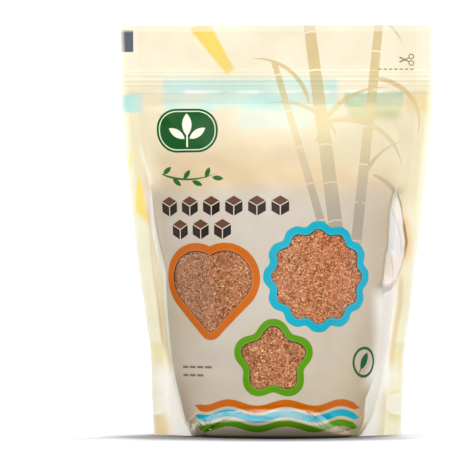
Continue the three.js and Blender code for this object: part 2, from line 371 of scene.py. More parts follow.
def cut(pts, tris, f, snap):
    """splits a flat triangle mesh along f = 0, and returns points, the triangles inside and those outside"""
    pts = pts.copy()
    val = f(pts[:, 0], pts[:, 1])
    e = 1e-3

    def onto(p, v):
        g = np.stack([f(p[:, 0] + e, p[:, 1]) - f(p[:, 0] - e, p[:, 1]), f(p[:, 0], p[:, 1] + e) - f(p[:, 0], p[:, 1] - e)], 1) / (2 * e)
        return p - g * (v / np.maximum((g * g).sum(1), 0.05))[:, None]

    near = np.abs(val) < snap
    pts[near] = onto(pts[near], val[near])
    val[near] = 0
    sign = np.sign(val).astype(int)
    s = sign[tris]
    lo, hi = s.min(1), s.max(1)
    cross = (lo < 0) & (hi > 0)
    total = s.sum(1)
    flat = (lo == 0) & (hi == 0)
    if flat.any():
        m = pts[tris[flat]].mean(1)
        total[flat] = np.sign(f(m[:, 0], m[:, 1])) + 0
    inside = [tuple(t) for t in tris[~cross & (total < 0)]]
    outside = [tuple(t) for t in tris[~cross & (total >= 0)]]
    extra, made = [], {}

    def mid(a, b):
        key = (a, b) if a < b else (b, a)
        if key not in made:
            t = val[a] / (val[a] - val[b])
            made[key] = len(pts) + len(extra)
            extra.append(pts[a] + (pts[b] - pts[a]) * t)
        return made[key]

    for t in tris[cross]:
        t = [int(q) for q in t]
        for k in range(3):
            a, b, c = t[k], t[(k + 1) % 3], t[(k + 2) % 3]
            sa, sb, sc = sign[a], sign[b], sign[c]
            if sa == 0 and sb * sc < 0:
                m = mid(b, c)
                (inside if sb < 0 else outside).append((a, b, m))
                (inside if sc < 0 else outside).append((a, m, c))
                break
            if sb == sc and sa * sb < 0:
                m, n = mid(a, b), mid(a, c)
                (inside if sa < 0 else outside).append((a, m, n))
                other = inside if sb < 0 else outside
                other.append((m, b, c))
                other.append((m, c, n))
                break
    extra = np.array(extra) if extra else np.zeros((0, 2))
    for _ in range(2):
        if len(extra):
            extra = onto(extra, f(extra[:, 0], extra[:, 1]))
    return np.concatenate([pts, extra]), np.array(inside), np.array(outside)


def shell(point, pts, tris, thickness, flip, offset=0.0):
    """closed thin body over a flat triangle mesh: outer face at point(u, z) less offset, inner face below it"""
    used, tris = np.unique(tris, return_inverse=True)
    tris = tris.reshape(-1, 3)
    pts = pts[used]
    u, z = pts[:, 0], pts[:, 1]
    zc = np.clip(z, 0.16, HEIGHT - 0.16)
    n = normals_of(point, u, zc) * (-1.0 if flip else 1.0)
    outer = point(u, z) - n * offset
    inner = outer - n * thickness
    count = len(pts)
    if flip:
        tris = tris[:, ::-1]
    edges = np.concatenate([tris[:, [0, 1]], tris[:, [1, 2]], tris[:, [2, 0]]])
    key = np.sort(edges, axis=1)
    _, index, times = np.unique(key, axis=0, return_index=True, return_counts=True)
    rim = edges[index[times == 1]]
    faces = [tuple(t) for t in tris] + [tuple(t) for t in (tris[:, ::-1] + count)]
    faces += [(b, a, a + count, b + count) for a, b in rim]
    return np.concatenate([outer, inner]), faces, np.concatenate([pts, pts])


def add_mesh(name, verts, faces, sharp=42, attributes=None):
    me = bpy.data.meshes.new(name)
    me.from_pydata((np.asarray(verts) * MM).tolist(), [], [tuple(int(i) for i in f) for f in faces])
    me.validate()
    me.update()
    for key, data in (attributes or {}).items():
        data = np.asarray(data, np.float32)
        kind = "FLOAT_VECTOR" if data.ndim == 2 else "FLOAT"
        at = me.attributes.new(key, kind, "POINT")
        at.data.foreach_set("vector" if data.ndim == 2 else "value", data.ravel())
    me.polygons.foreach_set("use_smooth", [True] * len(me.polygons))
    if sharp:
        me.set_sharp_from_angle(angle=math.radians(sharp))
    ob = bpy.data.objects.new(name, me)
    bpy.context.scene.collection.objects.link(ob)
    return ob


def spread(*parts):
    out = []
    for a, b, step in parts:
        out.append(np.linspace(a, b, max(2, int(round((b - a) / step)) + 1))[:-1])
    return np.concatenate(out + [[parts[-1][1]]])


half = spread((0, 48, 1.25), (48, BODY - 2, 0.9), (BODY - 2, BODY + 1.5, 0.6), (BODY + 1.5, FLAT - 1.6, 1.4), (FLAT - 1.6, FLAT, 0.5))
US = np.concatenate([-half[:0:-1], half])
ZS = spread((0, 20, 0.7), (20, 76, 1.3), (76, 136, 1.0), (136, 182, 1.3), (182, 186, 0.8), (186, 200, 0.42), (200, 220, 1.7), (220, 221.8, 0.6), (221.8, 224, 0.28))


def film_attributes(flatpts):
    return {"flat": np.stack([flatpts[:, 0], flatpts[:, 1], 0 * flatpts[:, 0]], 1)}


front = lambda u, z: film_point(-1, u, z)
back = lambda u, z: film_point(1, u, z)

pts, tris = grid_mesh(US, ZS)
pane_tris = {}
for key, f in WINDOWS.items():
    pts, inside, tris = cut(pts, tris, lambda a, b, f=f: f(Numbers, a, b), 0.30)
    pane_tris[key] = inside

v, f, flatpts = shell(front, pts, tris, FILM, False)
film_front = add_mesh("film_front", v, f, attributes=film_attributes(flatpts))
panes = []
for key, t in pane_tris.items():
    v, f, flatpts = shell(front, pts, t, FILM * 0.7, False)
    panes.append(add_mesh("window_" + key, v, f, attributes=film_attributes(flatpts)))

pts, tris = grid_mesh(US, ZS)
v, f, flatpts = shell(back, pts, tris, FILM, True)
film_back = add_mesh("film_back", v, f, attributes=film_attributes(flatpts))


# gusset film: welded inside the panels up to the U-shaped line, resting on the floor in the middle
def gusset_height(x):
    far = np.clip((np.abs(x) - U_START) / (float(seal_inner(GUSSET)) - U_START), 0, 1)
    ramp = GUSSET * far ** (1 / U_POWER)
    return 6.5 + 0.5 * ((ramp - 6.5) + np.sqrt((ramp - 6.5) ** 2 + 9.0))


def gusset_film():
    xs = spread((-57.2, -40, 0.9), (-40, 40, 1.6), (40, 57.2, 0.9))
    zus = np.array([float(gusset_height(x)) for x in xs])
    steps = np.linspace(0, 1, 7)
    gx = np.repeat(xs[:, None], 7, axis=1)
    gz = 0.05 + (zus[:, None] - 0.05) * steps[None, :]
    # the panel's inner face at these places: find the flat coordinate that lies at x
    low, high = np.zeros_like(gx), np.full_like(gx, FLAT)
    for _ in range(40):
        mid = (low + high) / 2
        less = x_of(mid, gz) < np.abs(gx)
        low, high = np.where(less, mid, low), np.where(less, high, mid)
    gu = (low + high) / 2 * np.where(gx >= 0, 1, -1)
    near_y = film_point(-1, gu, gz)[..., 1] + FILM + 0.12
    far_y = film_point(1, gu, gz)[..., 1] - FILM - 0.12
    rows = []
    for k0, x in enumerate(xs):
        zu = zus[k0]
        path = [(near_y[k0, k], gz[k0, k]) for k in range(7)]
        y0, y1 = near_y[k0, 6], far_y[k0, 6]
        lift = float(smooth(42, 55, abs(x)))
        for k, t in enumerate(np.linspace(0, 1, 41)[1:-1]):
            s = 0.5 - 0.5 * math.cos(math.pi * t)
            y = y0 + (y1 - y0) * s
            e = min(y - y0, y1 - y)
            depth = (zu - 0.42) * (1 - math.exp(-max(e, 0) / 2.6)) * (1 - lift * 0.93)
            wob = 0.30 * float(noise(x, y, 8, 81)) + 0.18 * float(noise(x, y, 3.5, 82))
            path.append((y, max(0.30, zu - depth + (wob if e > 3 else 0) + (0.18 if lift < 0.5 else 0))))
        path += [(far_y[k0, k], gz[k0, k]) for k in range(6, -1, -1)]
        rows.append([(x, y, z) for y, z in path])
    P = np.array(rows)
    nx, ny = P.shape[:2]
    dx = np.gradient(P, axis=0)
    dy = np.gradient(P, axis=1)
    n = np.cross(dx, dy)
    n /= np.maximum(np.linalg.norm(n, axis=-1, keepdims=True), 1e-9)
    Q = P + n * 0.16                       # inner (upper) face
    Q[..., 2] = np.maximum(Q[..., 2], 0.04)
    idx = lambda k, i, j: (k * nx + i) * ny + j
    faces = []
    for i in range(nx - 1):
        for j in range(ny - 1):
            faces.append((idx(0, i, j), idx(0, i, j + 1), idx(0, i + 1, j + 1), idx(0, i + 1, j)))
            faces.append((idx(1, i, j), idx(1, i + 1, j), idx(1, i + 1, j + 1), idx(1, i, j + 1)))
    for i in range(nx - 1):
        faces.append((idx(0, i, 0), idx(0, i + 1, 0), idx(1, i + 1, 0), idx(1, i, 0)))
        faces.append((idx(0, i, ny - 1), idx(1, i, ny - 1), idx(1, i + 1, ny - 1), idx(0, i + 1, ny - 1)))
    for j in range(ny - 1):
        faces.append((idx(0, 0, j), idx(1, 0, j), idx(1, 0, j + 1), idx(0, 0, j + 1)))
        faces.append((idx(0, nx - 1, j), idx(0, nx - 1, j + 1), idx(1, nx - 1, j + 1), idx(1, nx - 1, j)))
    return np.concatenate([P.reshape(-1, 3), Q.reshape(-1, 3)]), faces


v, f = gusset_film()
film_gusset = add_mesh("film_gusset", v, f)


# the sugar: one settled body, kept just inside the film
def sugar_core():
    cs = np.sin(np.linspace(-1, 1, 61) * math.pi / 2)
    zs = spread((8.5, 20, 2.2), (20, 120, 3.0), (120, 127, 1.5))
    rows = []
    flat_u = np.linspace(-BODY, BODY, 400)
    for side in (-1, 1):
        grid = []
        for z in zs:
            a = float(min(seal_inner(z), u_seal(z))) - 2.6
            x = a * cs
            x = np.where(x > 0, x * (1 - 0.10 * smooth(66, 78, z) * smooth(150, 138, z)), x)
            # the least depth of the neighbourhood, so that no dent of the film reaches the sugar
            near = []
            for dz in (-3.0, -1.5, 0.0, 1.5, 3.0):
                film = film_point(side, flat_u, np.full_like(flat_u, z + dz))
                near += [np.interp(x + k, film[:, 0], side * film[:, 1]) for k in (-3, -1.5, 0, 1.5, 3)]
            b = np.maximum(0.4, np.min(near, axis=0) - 2.8 + 0.25 * noise(x, np.full_like(x, z), 5, 91 + side))
            grid.append(np.stack([x, side * b, np.full_like(x, z)], 1))
        rows.append(grid)
    P = np.array(rows)                      # side, row, column, 3
    ns, nz, nc = P.shape[:3]
    verts = [tuple(p) for p in P.reshape(-1, 3)]
    idx = lambda s, j, i: (s * nz + j) * nc + i
    faces = []
    for j in range(nz - 1):
        for i in range(nc - 1):
            faces.append((idx(0, j, i), idx(0, j, i + 1), idx(0, j + 1, i + 1), idx(0, j + 1, i)))
            faces.append((idx(1, j, i), idx(1, j + 1, i), idx(1, j + 1, i + 1), idx(1, j, i + 1)))
        faces.append((idx(0, j, 0), idx(0, j + 1, 0), idx(1, j + 1, 0), idx(1, j, 0)))
        faces.append((idx(0, j, nc - 1), idx(1, j, nc - 1), idx(1, j + 1, nc - 1), idx(0, j + 1, nc - 1)))
    # uneven top and flat underside, each crossed by rows of points
    across = 13
    for j, up in ((0, False), (nz - 1, True)):
        strip = [[idx(0, j, i) for i in range(nc)]]
        for k in range(1, across):
            t = k / across
            line = []
            for i in range(nc):
                p, q = P[0, j, i], P[1, j, i]
                r = p + (q - p) * t
                if up and 0 < i < nc - 1:
                    r[2] += 3.2 * math.sin(math.pi * t) * (1 - (cs[i]) ** 4) + 1.2 * float(noise(r[0], r[1], 9, 95)) * math.sin(math.pi * t)
                line.append(len(verts))
                verts.append(tuple(r))
            strip.append(line)
        strip.append([idx(1, j, i) for i in range(nc)])
        for k in range(across):
            for i in range(nc - 1):
                a, b, c, d = strip[k][i], strip[k][i + 1], strip[k + 1][i + 1], strip[k + 1][i]
                faces.append((a, b, c, d) if up else (a, d, c, b))
        # close the little side seams left by the two end columns
        for i in (0, nc - 1):
            chain = [strip[k][i] for k in range(across + 1)]
            face = chain if (i == 0) == up else chain[::-1]
            faces.append(tuple(face[::-1]))
    return verts, faces


v, f = sugar_core()
sugar = add_mesh("sugar_body", v, f, sharp=60)


# where a window shows it, the sugar has its real relief, and loose crystals lie against the film
def crystals(centres, normals, sizes, rs):
    n = len(centres)
    corner = np.array([[x, y, z] for x in (-1, 1) for y in (-1, 1) for z in (-1, 1)], float)
    shape = corner[None] * (1 + 0.30 * (rs.rand(n, 8, 3) - 0.5) * 2) * (0.75 + 0.5 * rs.rand(n, 1, 3))
    shape = shape * sizes[:, None, None] * 0.5
    q = rs.normal(size=(n, 4))
    q /= np.linalg.norm(q, axis=1, keepdims=True)
    w, x, y, z = q.T
    R = np.stack([1 - 2 * (y * y + z * z), 2 * (x * y - w * z), 2 * (x * z + w * y),
                  2 * (x * y + w * z), 1 - 2 * (x * x + z * z), 2 * (y * z - w * x),
                  2 * (x * z - w * y), 2 * (y * z + w * x), 1 - 2 * (x * x + y * y)], 1).reshape(n, 3, 3)
    verts = np.einsum("nij,nkj->nki", R, shape)
    # keep every corner behind the window
    reach = np.einsum("nki,ni->nk", verts, normals).max(1)
    verts = verts + (centres - normals * reach[:, None])[:, None, :]
    quad = np.array([[0, 1, 3, 2], [4, 6, 7, 5], [0, 4, 5, 1], [2, 3, 7, 6], [0, 2, 6, 4], [1, 5, 7, 3]])
    faces = (quad[None] + 8 * np.arange(n)[:, None, None]).reshape(-1, 4)
    return verts.reshape(-1, 3), faces


relief_parts, grain_v, grain_f, grain_tone = [], [], [], []
rs = np.random.RandomState(20)
boxes = {"a": (-6, 51, 57, 115), "b": (-66, -8, 54, 104), "c": (-23, 19, 20, 63)}
grain_base = 0
for key, wf in WINDOWS.items():
    u0, u1, z0, z1 = boxes[key]
    p2, t2 = grid_mesh(np.arange(u0, u1, 0.55), np.arange(z0, z1, 0.55))
    p2, t2, _ = cut(p2, t2, lambda a, b: wf(Numbers, a, b) - 1.6, 0.12)

    def rough(u, z):
        P = film_point(-1, u, z)
        lump = 0.14 * noise(u, z, 3.1, 101) + 0.34 * noise(u, z, 1.15, 102) + 0.12 * noise(u, z, 0.6, 103)
        back_off = FILM + 0.55 + 0.45 * (lump + 0.3)
        P[:, 1] += back_off
        return P

    v, f, flatpts = shell(rough, p2, t2, 1.6, False)
    relief_parts.append(add_mesh("sugar_face_" + key, v, f, sharp=0))
    # crystals on a jittered hexagonal net
    step = 0.80
    gx, gz = np.meshgrid(np.arange(u0, u1, step), np.arange(z0, z1, step * 0.866))
    gx = gx + (np.arange(gx.shape[0]) % 2)[:, None] * step / 2
    gu = (gx + rs.uniform(-0.3, 0.3, gx.shape)).ravel()
    gz = (gz + rs.uniform(-0.3, 0.3, gz.shape)).ravel()
    keep = (wf(Numbers, gu, gz) < 0.5) & (rs.rand(len(gu)) < 0.93)
    gu, gz = gu[keep], gz[keep]
    P = film_point(-1, gu, gz)
    N = normals_of(front, gu, gz)
    depth = FILM * 0.7 + 0.05 + 0.50 * np.clip(0.5 + 0.25 * noise(gu, gz, 2.6, 104) + 0.5 * rs.uniform(-1, 1, len(gu)), 0, 1)
    size = rs.uniform(0.56, 1.04, len(gu))
    v, f = crystals(P - N * depth[:, None], N, size, rs)
    grain_v.append(v)
    grain_f.append(f + grain_base)
    grain_base += len(v)
    tone = np.clip(0.50 + 0.29 * rs.normal(size=len(gu)) + 0.24 * noise(gu, gz, 1.05, 105), 0, 1)
    grain_tone.append(np.repeat(tone, 8))
grains = add_mesh("sugar_crystals", np.concatenate(grain_v), np.concatenate(grain_f), sharp=20, attributes={"tone": np.concatenate(grain_tone)})


# ======================================================================
# Materials
# ======================================================================
def linear(rgb):
    return tuple((c / 255 / 12.92) if c / 255 <= 0.04045 else ((c / 255 + 0.055) / 1.055) ** 2.4 for c in rgb) + (1.0,)


class Value:
    """one number in a shader's node tree"""
    def __init__(self, g, socket):
        self.g, self.socket = g, socket

    def __add__(self, o): return self.g.math("ADD", self, o)
    __radd__ = __add__
    def __sub__(self, o): return self.g.math("SUBTRACT", self, o)
    def __rsub__(self, o): return self.g.math("SUBTRACT", o, self)
    def __mul__(self, o): return self.g.math("MULTIPLY", self, o)
    __rmul__ = __mul__
    def __truediv__(self, o): return self.g.math("DIVIDE", self, o)
    def __neg__(self): return self.g.math("MULTIPLY", self, -1.0)


class Shader:
    """a node material, with the same small set of functions as Numbers"""
    def __init__(self, name):
        self.mat = bpy.data.materials.new(name)
        self.mat.use_nodes = True
        self.tree = self.mat.node_tree
        self.tree.nodes.clear()
        self.nodes, self.links = self.tree.nodes, self.tree.links
        self.out = self.nodes.new("ShaderNodeOutputMaterial")

    def inner(self, name, kind):
        """an empty node group with one output, and the helper that fills it"""
        g = Shader.__new__(Shader)
        g.mat, g.tree = None, bpy.data.node_groups.new(name, "ShaderNodeTree")
        g.nodes, g.links = g.tree.nodes, g.tree.links
        g.tree.interface.new_socket("Result", in_out="OUTPUT", socket_type=kind)
        g.out = g.nodes.new("NodeGroupOutput")
        return g

    def measure(self, name, make):
        """a number worked out in a group of its own by make(g, u, v)"""
        g = self.inner(name, "NodeSocketFloat")
        g.put(g.out.inputs[0], make(g, *g.flat()))
        node = self.nodes.new("ShaderNodeGroup")
        node.node_tree = g.tree
        return Value(self, node.outputs[0])

    def step(self, name, color, make):
        """the colour changed in a group of its own by make(g, color, u, v)"""
        g = self.inner(name, "NodeSocketColor")
        g.tree.interface.new_socket("Color", in_out="INPUT", socket_type="NodeSocketColor")
        source = g.nodes.new("NodeGroupInput")
        g.links.new(make(g, source.outputs[0], *g.flat()), g.out.inputs[0])
        node = self.nodes.new("ShaderNodeGroup")
        node.node_tree = g.tree
        self.put(node.inputs[0], color)
        return node.outputs[0]

    def put(self, socket, value):
        if isinstance(value, Value):
            self.links.new(value.socket, socket)
        elif hasattr(value, "is_output"):
            self.links.new(value, socket)
        else:
            socket.default_value = value

    def math(self, op, *args):
        node = self.nodes.new("ShaderNodeMath")
        node.operation = op
        for k, a in enumerate(args):
            self.put(node.inputs[k], a)
        return Value(self, node.outputs[0])

    def sqrt(self, a): return self.math("SQRT", a)
    def sin(self, a): return self.math("SINE", a)
    def cos(self, a): return self.math("COSINE", a)
    def absolute(self, a): return self.math("ABSOLUTE", a)
    def minimum(self, a, b): return self.math("MINIMUM", a, b)
    def maximum(self, a, b): return self.math("MAXIMUM", a, b)
    def atan2(self, a, b): return self.math("ARCTAN2", a, b)
    def above(self, a, b): return self.math("GREATER_THAN", a, b)
    def wrap(self, a, low, high): return self.math("WRAP", a, high, low)

    def ramp(self, v, a, b, low=0.0, high=1.0):
        """smooth step from a to b"""
        node = self.nodes.new("ShaderNodeMapRange")
        node.interpolation_type = "SMOOTHSTEP"
        if a > b:
            a, b, low, high = b, a, high, low
        self.put(node.inputs["Value"], v)
        node.inputs["From Min"].default_value, node.inputs["From Max"].default_value = a, b
        node.inputs["To Min"].default_value, node.inputs["To Max"].default_value = low, high
        return Value(self, node.outputs["Result"])

    def along(self, v, points, v0=0.0, v1=224.0):
        """piecewise straight curve through (v, value) points"""
        low, high = min(q[1] for q in points) - 1, max(q[1] for q in points) + 1
        node = self.nodes.new("ShaderNodeFloatCurve")
        curve = node.mapping.curves[0]
        pts = [(v0, points[0][1])] * (points[0][0] > v0) + list(points) + [(v1, points[-1][1])] * (points[-1][0] < v1)
        place = [((a - v0) / (v1 - v0), (b - low) / (high - low)) for a, b in pts]
        curve.points[0].location, curve.points[1].location = place[0], place[-1]
        for a, b in place[1:-1]:
            curve.points.new(a, b)
        for q in curve.points:
            q.handle_type = "VECTOR"
        node.mapping.update()
        self.put(node.inputs["Value"], (v - v0) * (1 / (v1 - v0)))
        return Value(self, node.outputs[0]) * (high - low) + low

    def inside(self, d, edge=0.12):
        """1 where a signed distance is negative"""
        return self.ramp(d, edge, -edge)

    def attribute(self, name):
        node = self.nodes.new("ShaderNodeAttribute")
        node.attribute_type = "GEOMETRY"
        node.attribute_name = name
        return node

    def flat(self):
        sep = self.nodes.new("ShaderNodeSeparateXYZ")
        self.links.new(self.attribute("flat").outputs["Vector"], sep.inputs[0])
        return Value(self, sep.outputs[0]), Value(self, sep.outputs[1])

    def coords(self):
        return self.nodes.new("ShaderNodeTexCoord").outputs["Object"]

    def noise(self, vector, scale, detail=2.0, rough=0.5, stretch=None, distortion=0.0):
        if stretch:
            m = self.nodes.new("ShaderNodeMapping")
            m.inputs["Scale"].default_value = stretch
            self.links.new(vector, m.inputs["Vector"])
            vector = m.outputs["Vector"]
        node = self.nodes.new("ShaderNodeTexNoise")
        node.inputs["Scale"].default_value = scale
        node.inputs["Detail"].default_value = detail
        node.inputs["Roughness"].default_value = rough
        node.inputs["Distortion"].default_value = distortion
        self.links.new(vector, node.inputs["Vector"])
        return Value(self, node.outputs["Fac"])

    def mix(self, fac, a, b, how="MIX"):
        node = self.nodes.new("ShaderNodeMix")
        node.data_type = "RGBA"
        node.blend_type = how
        self.put(node.inputs["Factor"], fac)
        for key, v in (("A", a), ("B", b)):
            socket = next(s for s in node.inputs if s.name == key and s.type == "RGBA")
            if isinstance(v, tuple):
                socket.default_value = v
            else:
                self.links.new(v, socket)
        return next(s for s in node.outputs if s.type == "RGBA")

    def paint(self, base, mask, rgb, strength=1.0):
        if strength != 1.0:
            mask = mask * strength
        return self.mix(mask, base, linear(rgb))

    def tint(self, base, mask, rgb, strength=1.0):
        """as ink through the film: multiplies"""
        if strength != 1.0:
            mask = mask * strength
        return self.mix(mask, base, linear(rgb), "MULTIPLY")

    def bump(self, height, strength, distance, normal=None):
        node = self.nodes.new("ShaderNodeBump")
        node.inputs["Strength"].default_value = strength
        node.inputs["Distance"].default_value = distance
        self.put(node.inputs["Height"], height)
        if normal is not None:
            self.links.new(normal, node.inputs["Normal"])
        return node.outputs["Normal"]

    def principled(self, color, roughness, normal=None, **fixed):
        node = self.nodes.new("ShaderNodeBsdfPrincipled")
        self.put(node.inputs["Base Color"], color)
        self.put(node.inputs["Roughness"], roughness)
        if normal is not None:
            self.links.new(normal, node.inputs["Normal"])
        for key, v in fixed.items():
            node.inputs[key.replace("_", " ")].default_value = v
        return node.outputs["BSDF"]


# ---- small shapes, as signed distances in mm ----
def turned(B, u, v, c, degrees):
    """local coordinates: first along the given direction, second across it"""
    a = math.radians(degrees)
    x, y = u - c[0], v - c[1]
    return x * math.cos(a) + y * math.sin(a), y * math.cos(a) - x * math.sin(a)


def leaf(B, u, v, c, degrees, length, width):
    """pointed leaf centred on c"""
    x, y = turned(B, u, v, c, degrees)
    h, w = length / 2, width / 2
    a = (h * h - w * w) / (2 * w)
    R = a + w
    return B.sqrt(x * x + (B.absolute(y) + a) * (B.absolute(y) + a)) - R


def band(B, u, v, p, q, w0, w1):
    """straight tapering bar from p to q"""
    L = math.hypot(q[0] - p[0], q[1] - p[1])
    x, y = turned(B, u, v, p, math.degrees(math.atan2(q[1] - p[1], q[0] - p[0])))
    t = B.minimum(B.maximum(x / L, 0.0), 1.0)
    ends = B.maximum(x - L, -x) if not isinstance(x, Value) else B.maximum(x - L, x * -1.0)
    return B.maximum(B.absolute(y) - (t * (w1 - w0) + w0), ends)


def blade(B, u, v, c, R, mid_deg, span_deg, w, taper=1.0):
    """long leaf along a circle's arc, thick at its start and fine at its tip"""
    x, y = turned(B, u, v, c, mid_deg)
    r = B.sqrt(x * x + y * y)
    th = B.atan2(y, x) * (180 / math.pi)
    t = th / span_deg + 0.5 if not isinstance(th, Value) else th / span_deg + 0.5
    if taper < 0:
        t = 1.0 - t
    t = B.minimum(B.maximum(t, 0.0), 1.0)
    width = B.sqrt(t * 1.15 + 0.02) * (1.0 - t) * (2.2 * w)
    ends = (B.absolute(th) - span_deg / 2) * (R * math.pi / 180)
    return B.maximum(B.absolute(r - R) - width, ends)


def box(B, u, v, c, hx, hz, r=0.0):
    x, y = B.absolute(u - c[0]) - (hx - r), B.absolute(v - c[1]) - (hz - r)
    ox, oy = B.maximum(x, 0.0), B.maximum(y, 0.0)
    return B.sqrt(ox * ox + oy * oy) + B.minimum(B.maximum(x, y), 0.0) - r


def ring(B, u, v, c, R, w):
    x, y = u - c[0], v - c[1]
    return B.absolute(B.sqrt(x * x + y * y) - R) - w


CREAM_HEADER, CREAM, CREAM_SIDE = (243, 233, 207), (229, 215, 187), (236, 223, 190)
GREIGE_HIGH, GREIGE_LOW = (200, 191, 180), (202, 191, 175)
BLUE, GREEN, ORANGE = (0, 167, 192), (88, 152, 0), (198, 98, 0)
DEEP_GREEN = (0, 81, 18)
FIN_CREAM, SEAM_SHADE_TAN = (248, 242, 213), (210, 184, 144)


# small folds of the film at the foot: from, to (across, up), half width, height
CREASES = [((-43.3, 3.0), (-36.4, 6.6), 1.5, 0.8), ((-36.4, 6.6), (-29.4, 10.1), 1.4, 0.7), ((-29.4, 10.1), (-21.2, 13.6), 1.3, 0.5),
           ((-46.8, 9.0), (-43.4, 6.1), 1.0, 0.8), ((-43.6, 10.2), (-41.2, 6.8), 0.9, -0.7), ((-54.2, 8.4), (-46.3, 12.6), 1.5, 0.7),
           ((-62.0, 7.8), (-57.6, 5.6), 1.3, 0.7), ((-51.5, 0.6), (-49.8, 5.0), 1.2, 0.8), ((-48.6, 5.2), (-44.0, 10.4), 0.9, 0.6),
           ((-40.2, 11.8), (-36.0, 12.2), 1.0, 0.5), ((-38.6, 8.4), (-38.0, 4.6), 1.0, -0.6),
           ((16.7, 14.3), (21.2, 11.5), 1.1, 0.8), ((21.2, 11.5), (28.9, 5.4), 1.2, 0.7), ((16.9, 14.6), (18.4, 10.2), 0.9, 0.7),
           ((19.6, 9.8), (23.0, 6.4), 1.0, -0.6), ((29.3, 11.8), (42.6, 8.6), 2.2, 0.45), ((34.9, 2.4), (44.6, 4.2), 1.4, -0.6),
           ((-11.3, 13.4), (-2.1, 10.9), 1.6, 0.5), ((-21.0, 13.2), (-9.0, 9.4), 2.2, -0.35), ((4.0, 12.6), (13.0, 10.2), 1.8, 0.4),
           ((53.2, 12.4), (48.4, 1.0), 1.3, 0.5)]


def crease_height(s, u, v):
    total = None
    for p, q, w, h in CREASES:
        fold = s.ramp(band(s, u, v, p, q, 0.05, 0.05), w, 0.0) * h
        total = fold if total is None else total + fold
    return total


def film_finish(s, color, fill, strength=1.0, crease=None):
    """lacquered film: soft sheen, fine crinkle, and the crystals' imprint where sugar presses on it"""
    where = s.coords()
    cloud = s.noise(where, 38, 3)
    color = s.mix(s.ramp(cloud, 0.32, 0.72), color, s.mix(1.0, color, linear((247, 245, 241)), "MULTIPLY"))
    fine = s.noise(where, 900, 2, 0.55)
    grainy = s.noise(where, 1500, 2, 0.6)
    rough = s.noise(where, 70, 2) * 0.12 + fine * 0.06 + 0.27
    crinkle = s.noise(where, 210, 3, 0.55, (1.0, 1.0, 0.6))
    n = s.bump(crinkle, 0.16 * strength, 0.0006)
    n = s.bump(grainy * fill, 0.30 * strength, 0.00012, n)
    if crease is not None:
        n = s.bump(crease, 1.0, 0.00055, n)
    return s.principled(color, rough, n, IOR=1.5, Specular_IOR_Level=0.14)


def sugar_level(s, u, v, left, right):
    """1 where sugar lies behind the film"""
    where = s.coords()
    wander = (s.noise(where, 42, 2) - 0.5) * 9.0 + (s.noise(where, 160, 2) - 0.5) * 3.0
    return s.ramp(v + wander, 141.0, 127.5) * s.ramp(u - left, -0.35, 0.5) * s.ramp(u - right, 0.35, -0.5)


def base_film(s, color, u, v, left, right):
    """the film's ground colour before print: cream, darker where sugar lies behind it, with painted light on the header
    and painted shade in the lower corners and along the flanks
    """
    # painted light: the header above the strip is a lighter cream, for light shining through its thin film from behind
    color = s.mix(s.ramp(v, 176, 197), linear(CREAM), linear(CREAM_HEADER))
    color = s.mix(s.ramp(s.absolute(u), 58, 76) * s.ramp(v, 188, 170), color, linear(CREAM_SIDE))
    # the slack film over the sugar is a little darker towards it
    color = s.mix(s.ramp(v, 172, 140) * s.ramp(s.absolute(u), 76, 60) * 0.9, color, s.tint(color, 1.0, (236, 222, 204)))
    color = s.mix(s.ramp(u, 0, 40) * s.ramp(v, 134, 150) * s.ramp(v, 190, 178) * 0.6, color, linear((230, 221, 191)))
    grey = s.mix(s.ramp(v, 120, 26), linear(GREIGE_HIGH), linear(GREIGE_LOW))
    # painted shade: browner towards the lower corners, where the film turns away from the light
    corner = s.ramp(s.absolute(u + 3.0), 34, 62) * s.ramp(v, 44, 12)
    grey = s.mix(corner * 0.75, grey, linear((178, 152, 124)))
    drift = s.noise(s.coords(), 22, 2)
    grey = s.mix(s.ramp(drift, 0.34, 0.66) * 0.35, grey, linear((204, 190, 164)))
    grey = s.mix(s.ramp(u, -5, 55) * 0.7, grey, s.tint(grey, 1.0, (249, 243, 232)))
    # painted shade: darker tan towards the flanks, above the lower corners, where the body turns away from the light
    grey = s.mix(s.ramp(s.absolute(u), 48, 68) * s.ramp(v, 40, 70) * 0.45, grey, linear((190, 174, 146)))
    color = s.mix(sugar_level(s, u, v, left, right), color, grey)
    fin = s.mix(s.ramp(v, 112, 138) * s.ramp(s.absolute(u), 83.5, 80.5), linear(FIN_CREAM), linear((238, 227, 193)))
    fin = s.mix(s.ramp(v, 186, 198), fin, linear((246, 237, 213)))
    return s.mix(s.ramp(s.absolute(u), BODY - 0.6, BODY + 0.6), color, fin)


def paler(s, color, mask, rgb, strength=1.0):
    return s.mix(mask * strength, color, linear(rgb))


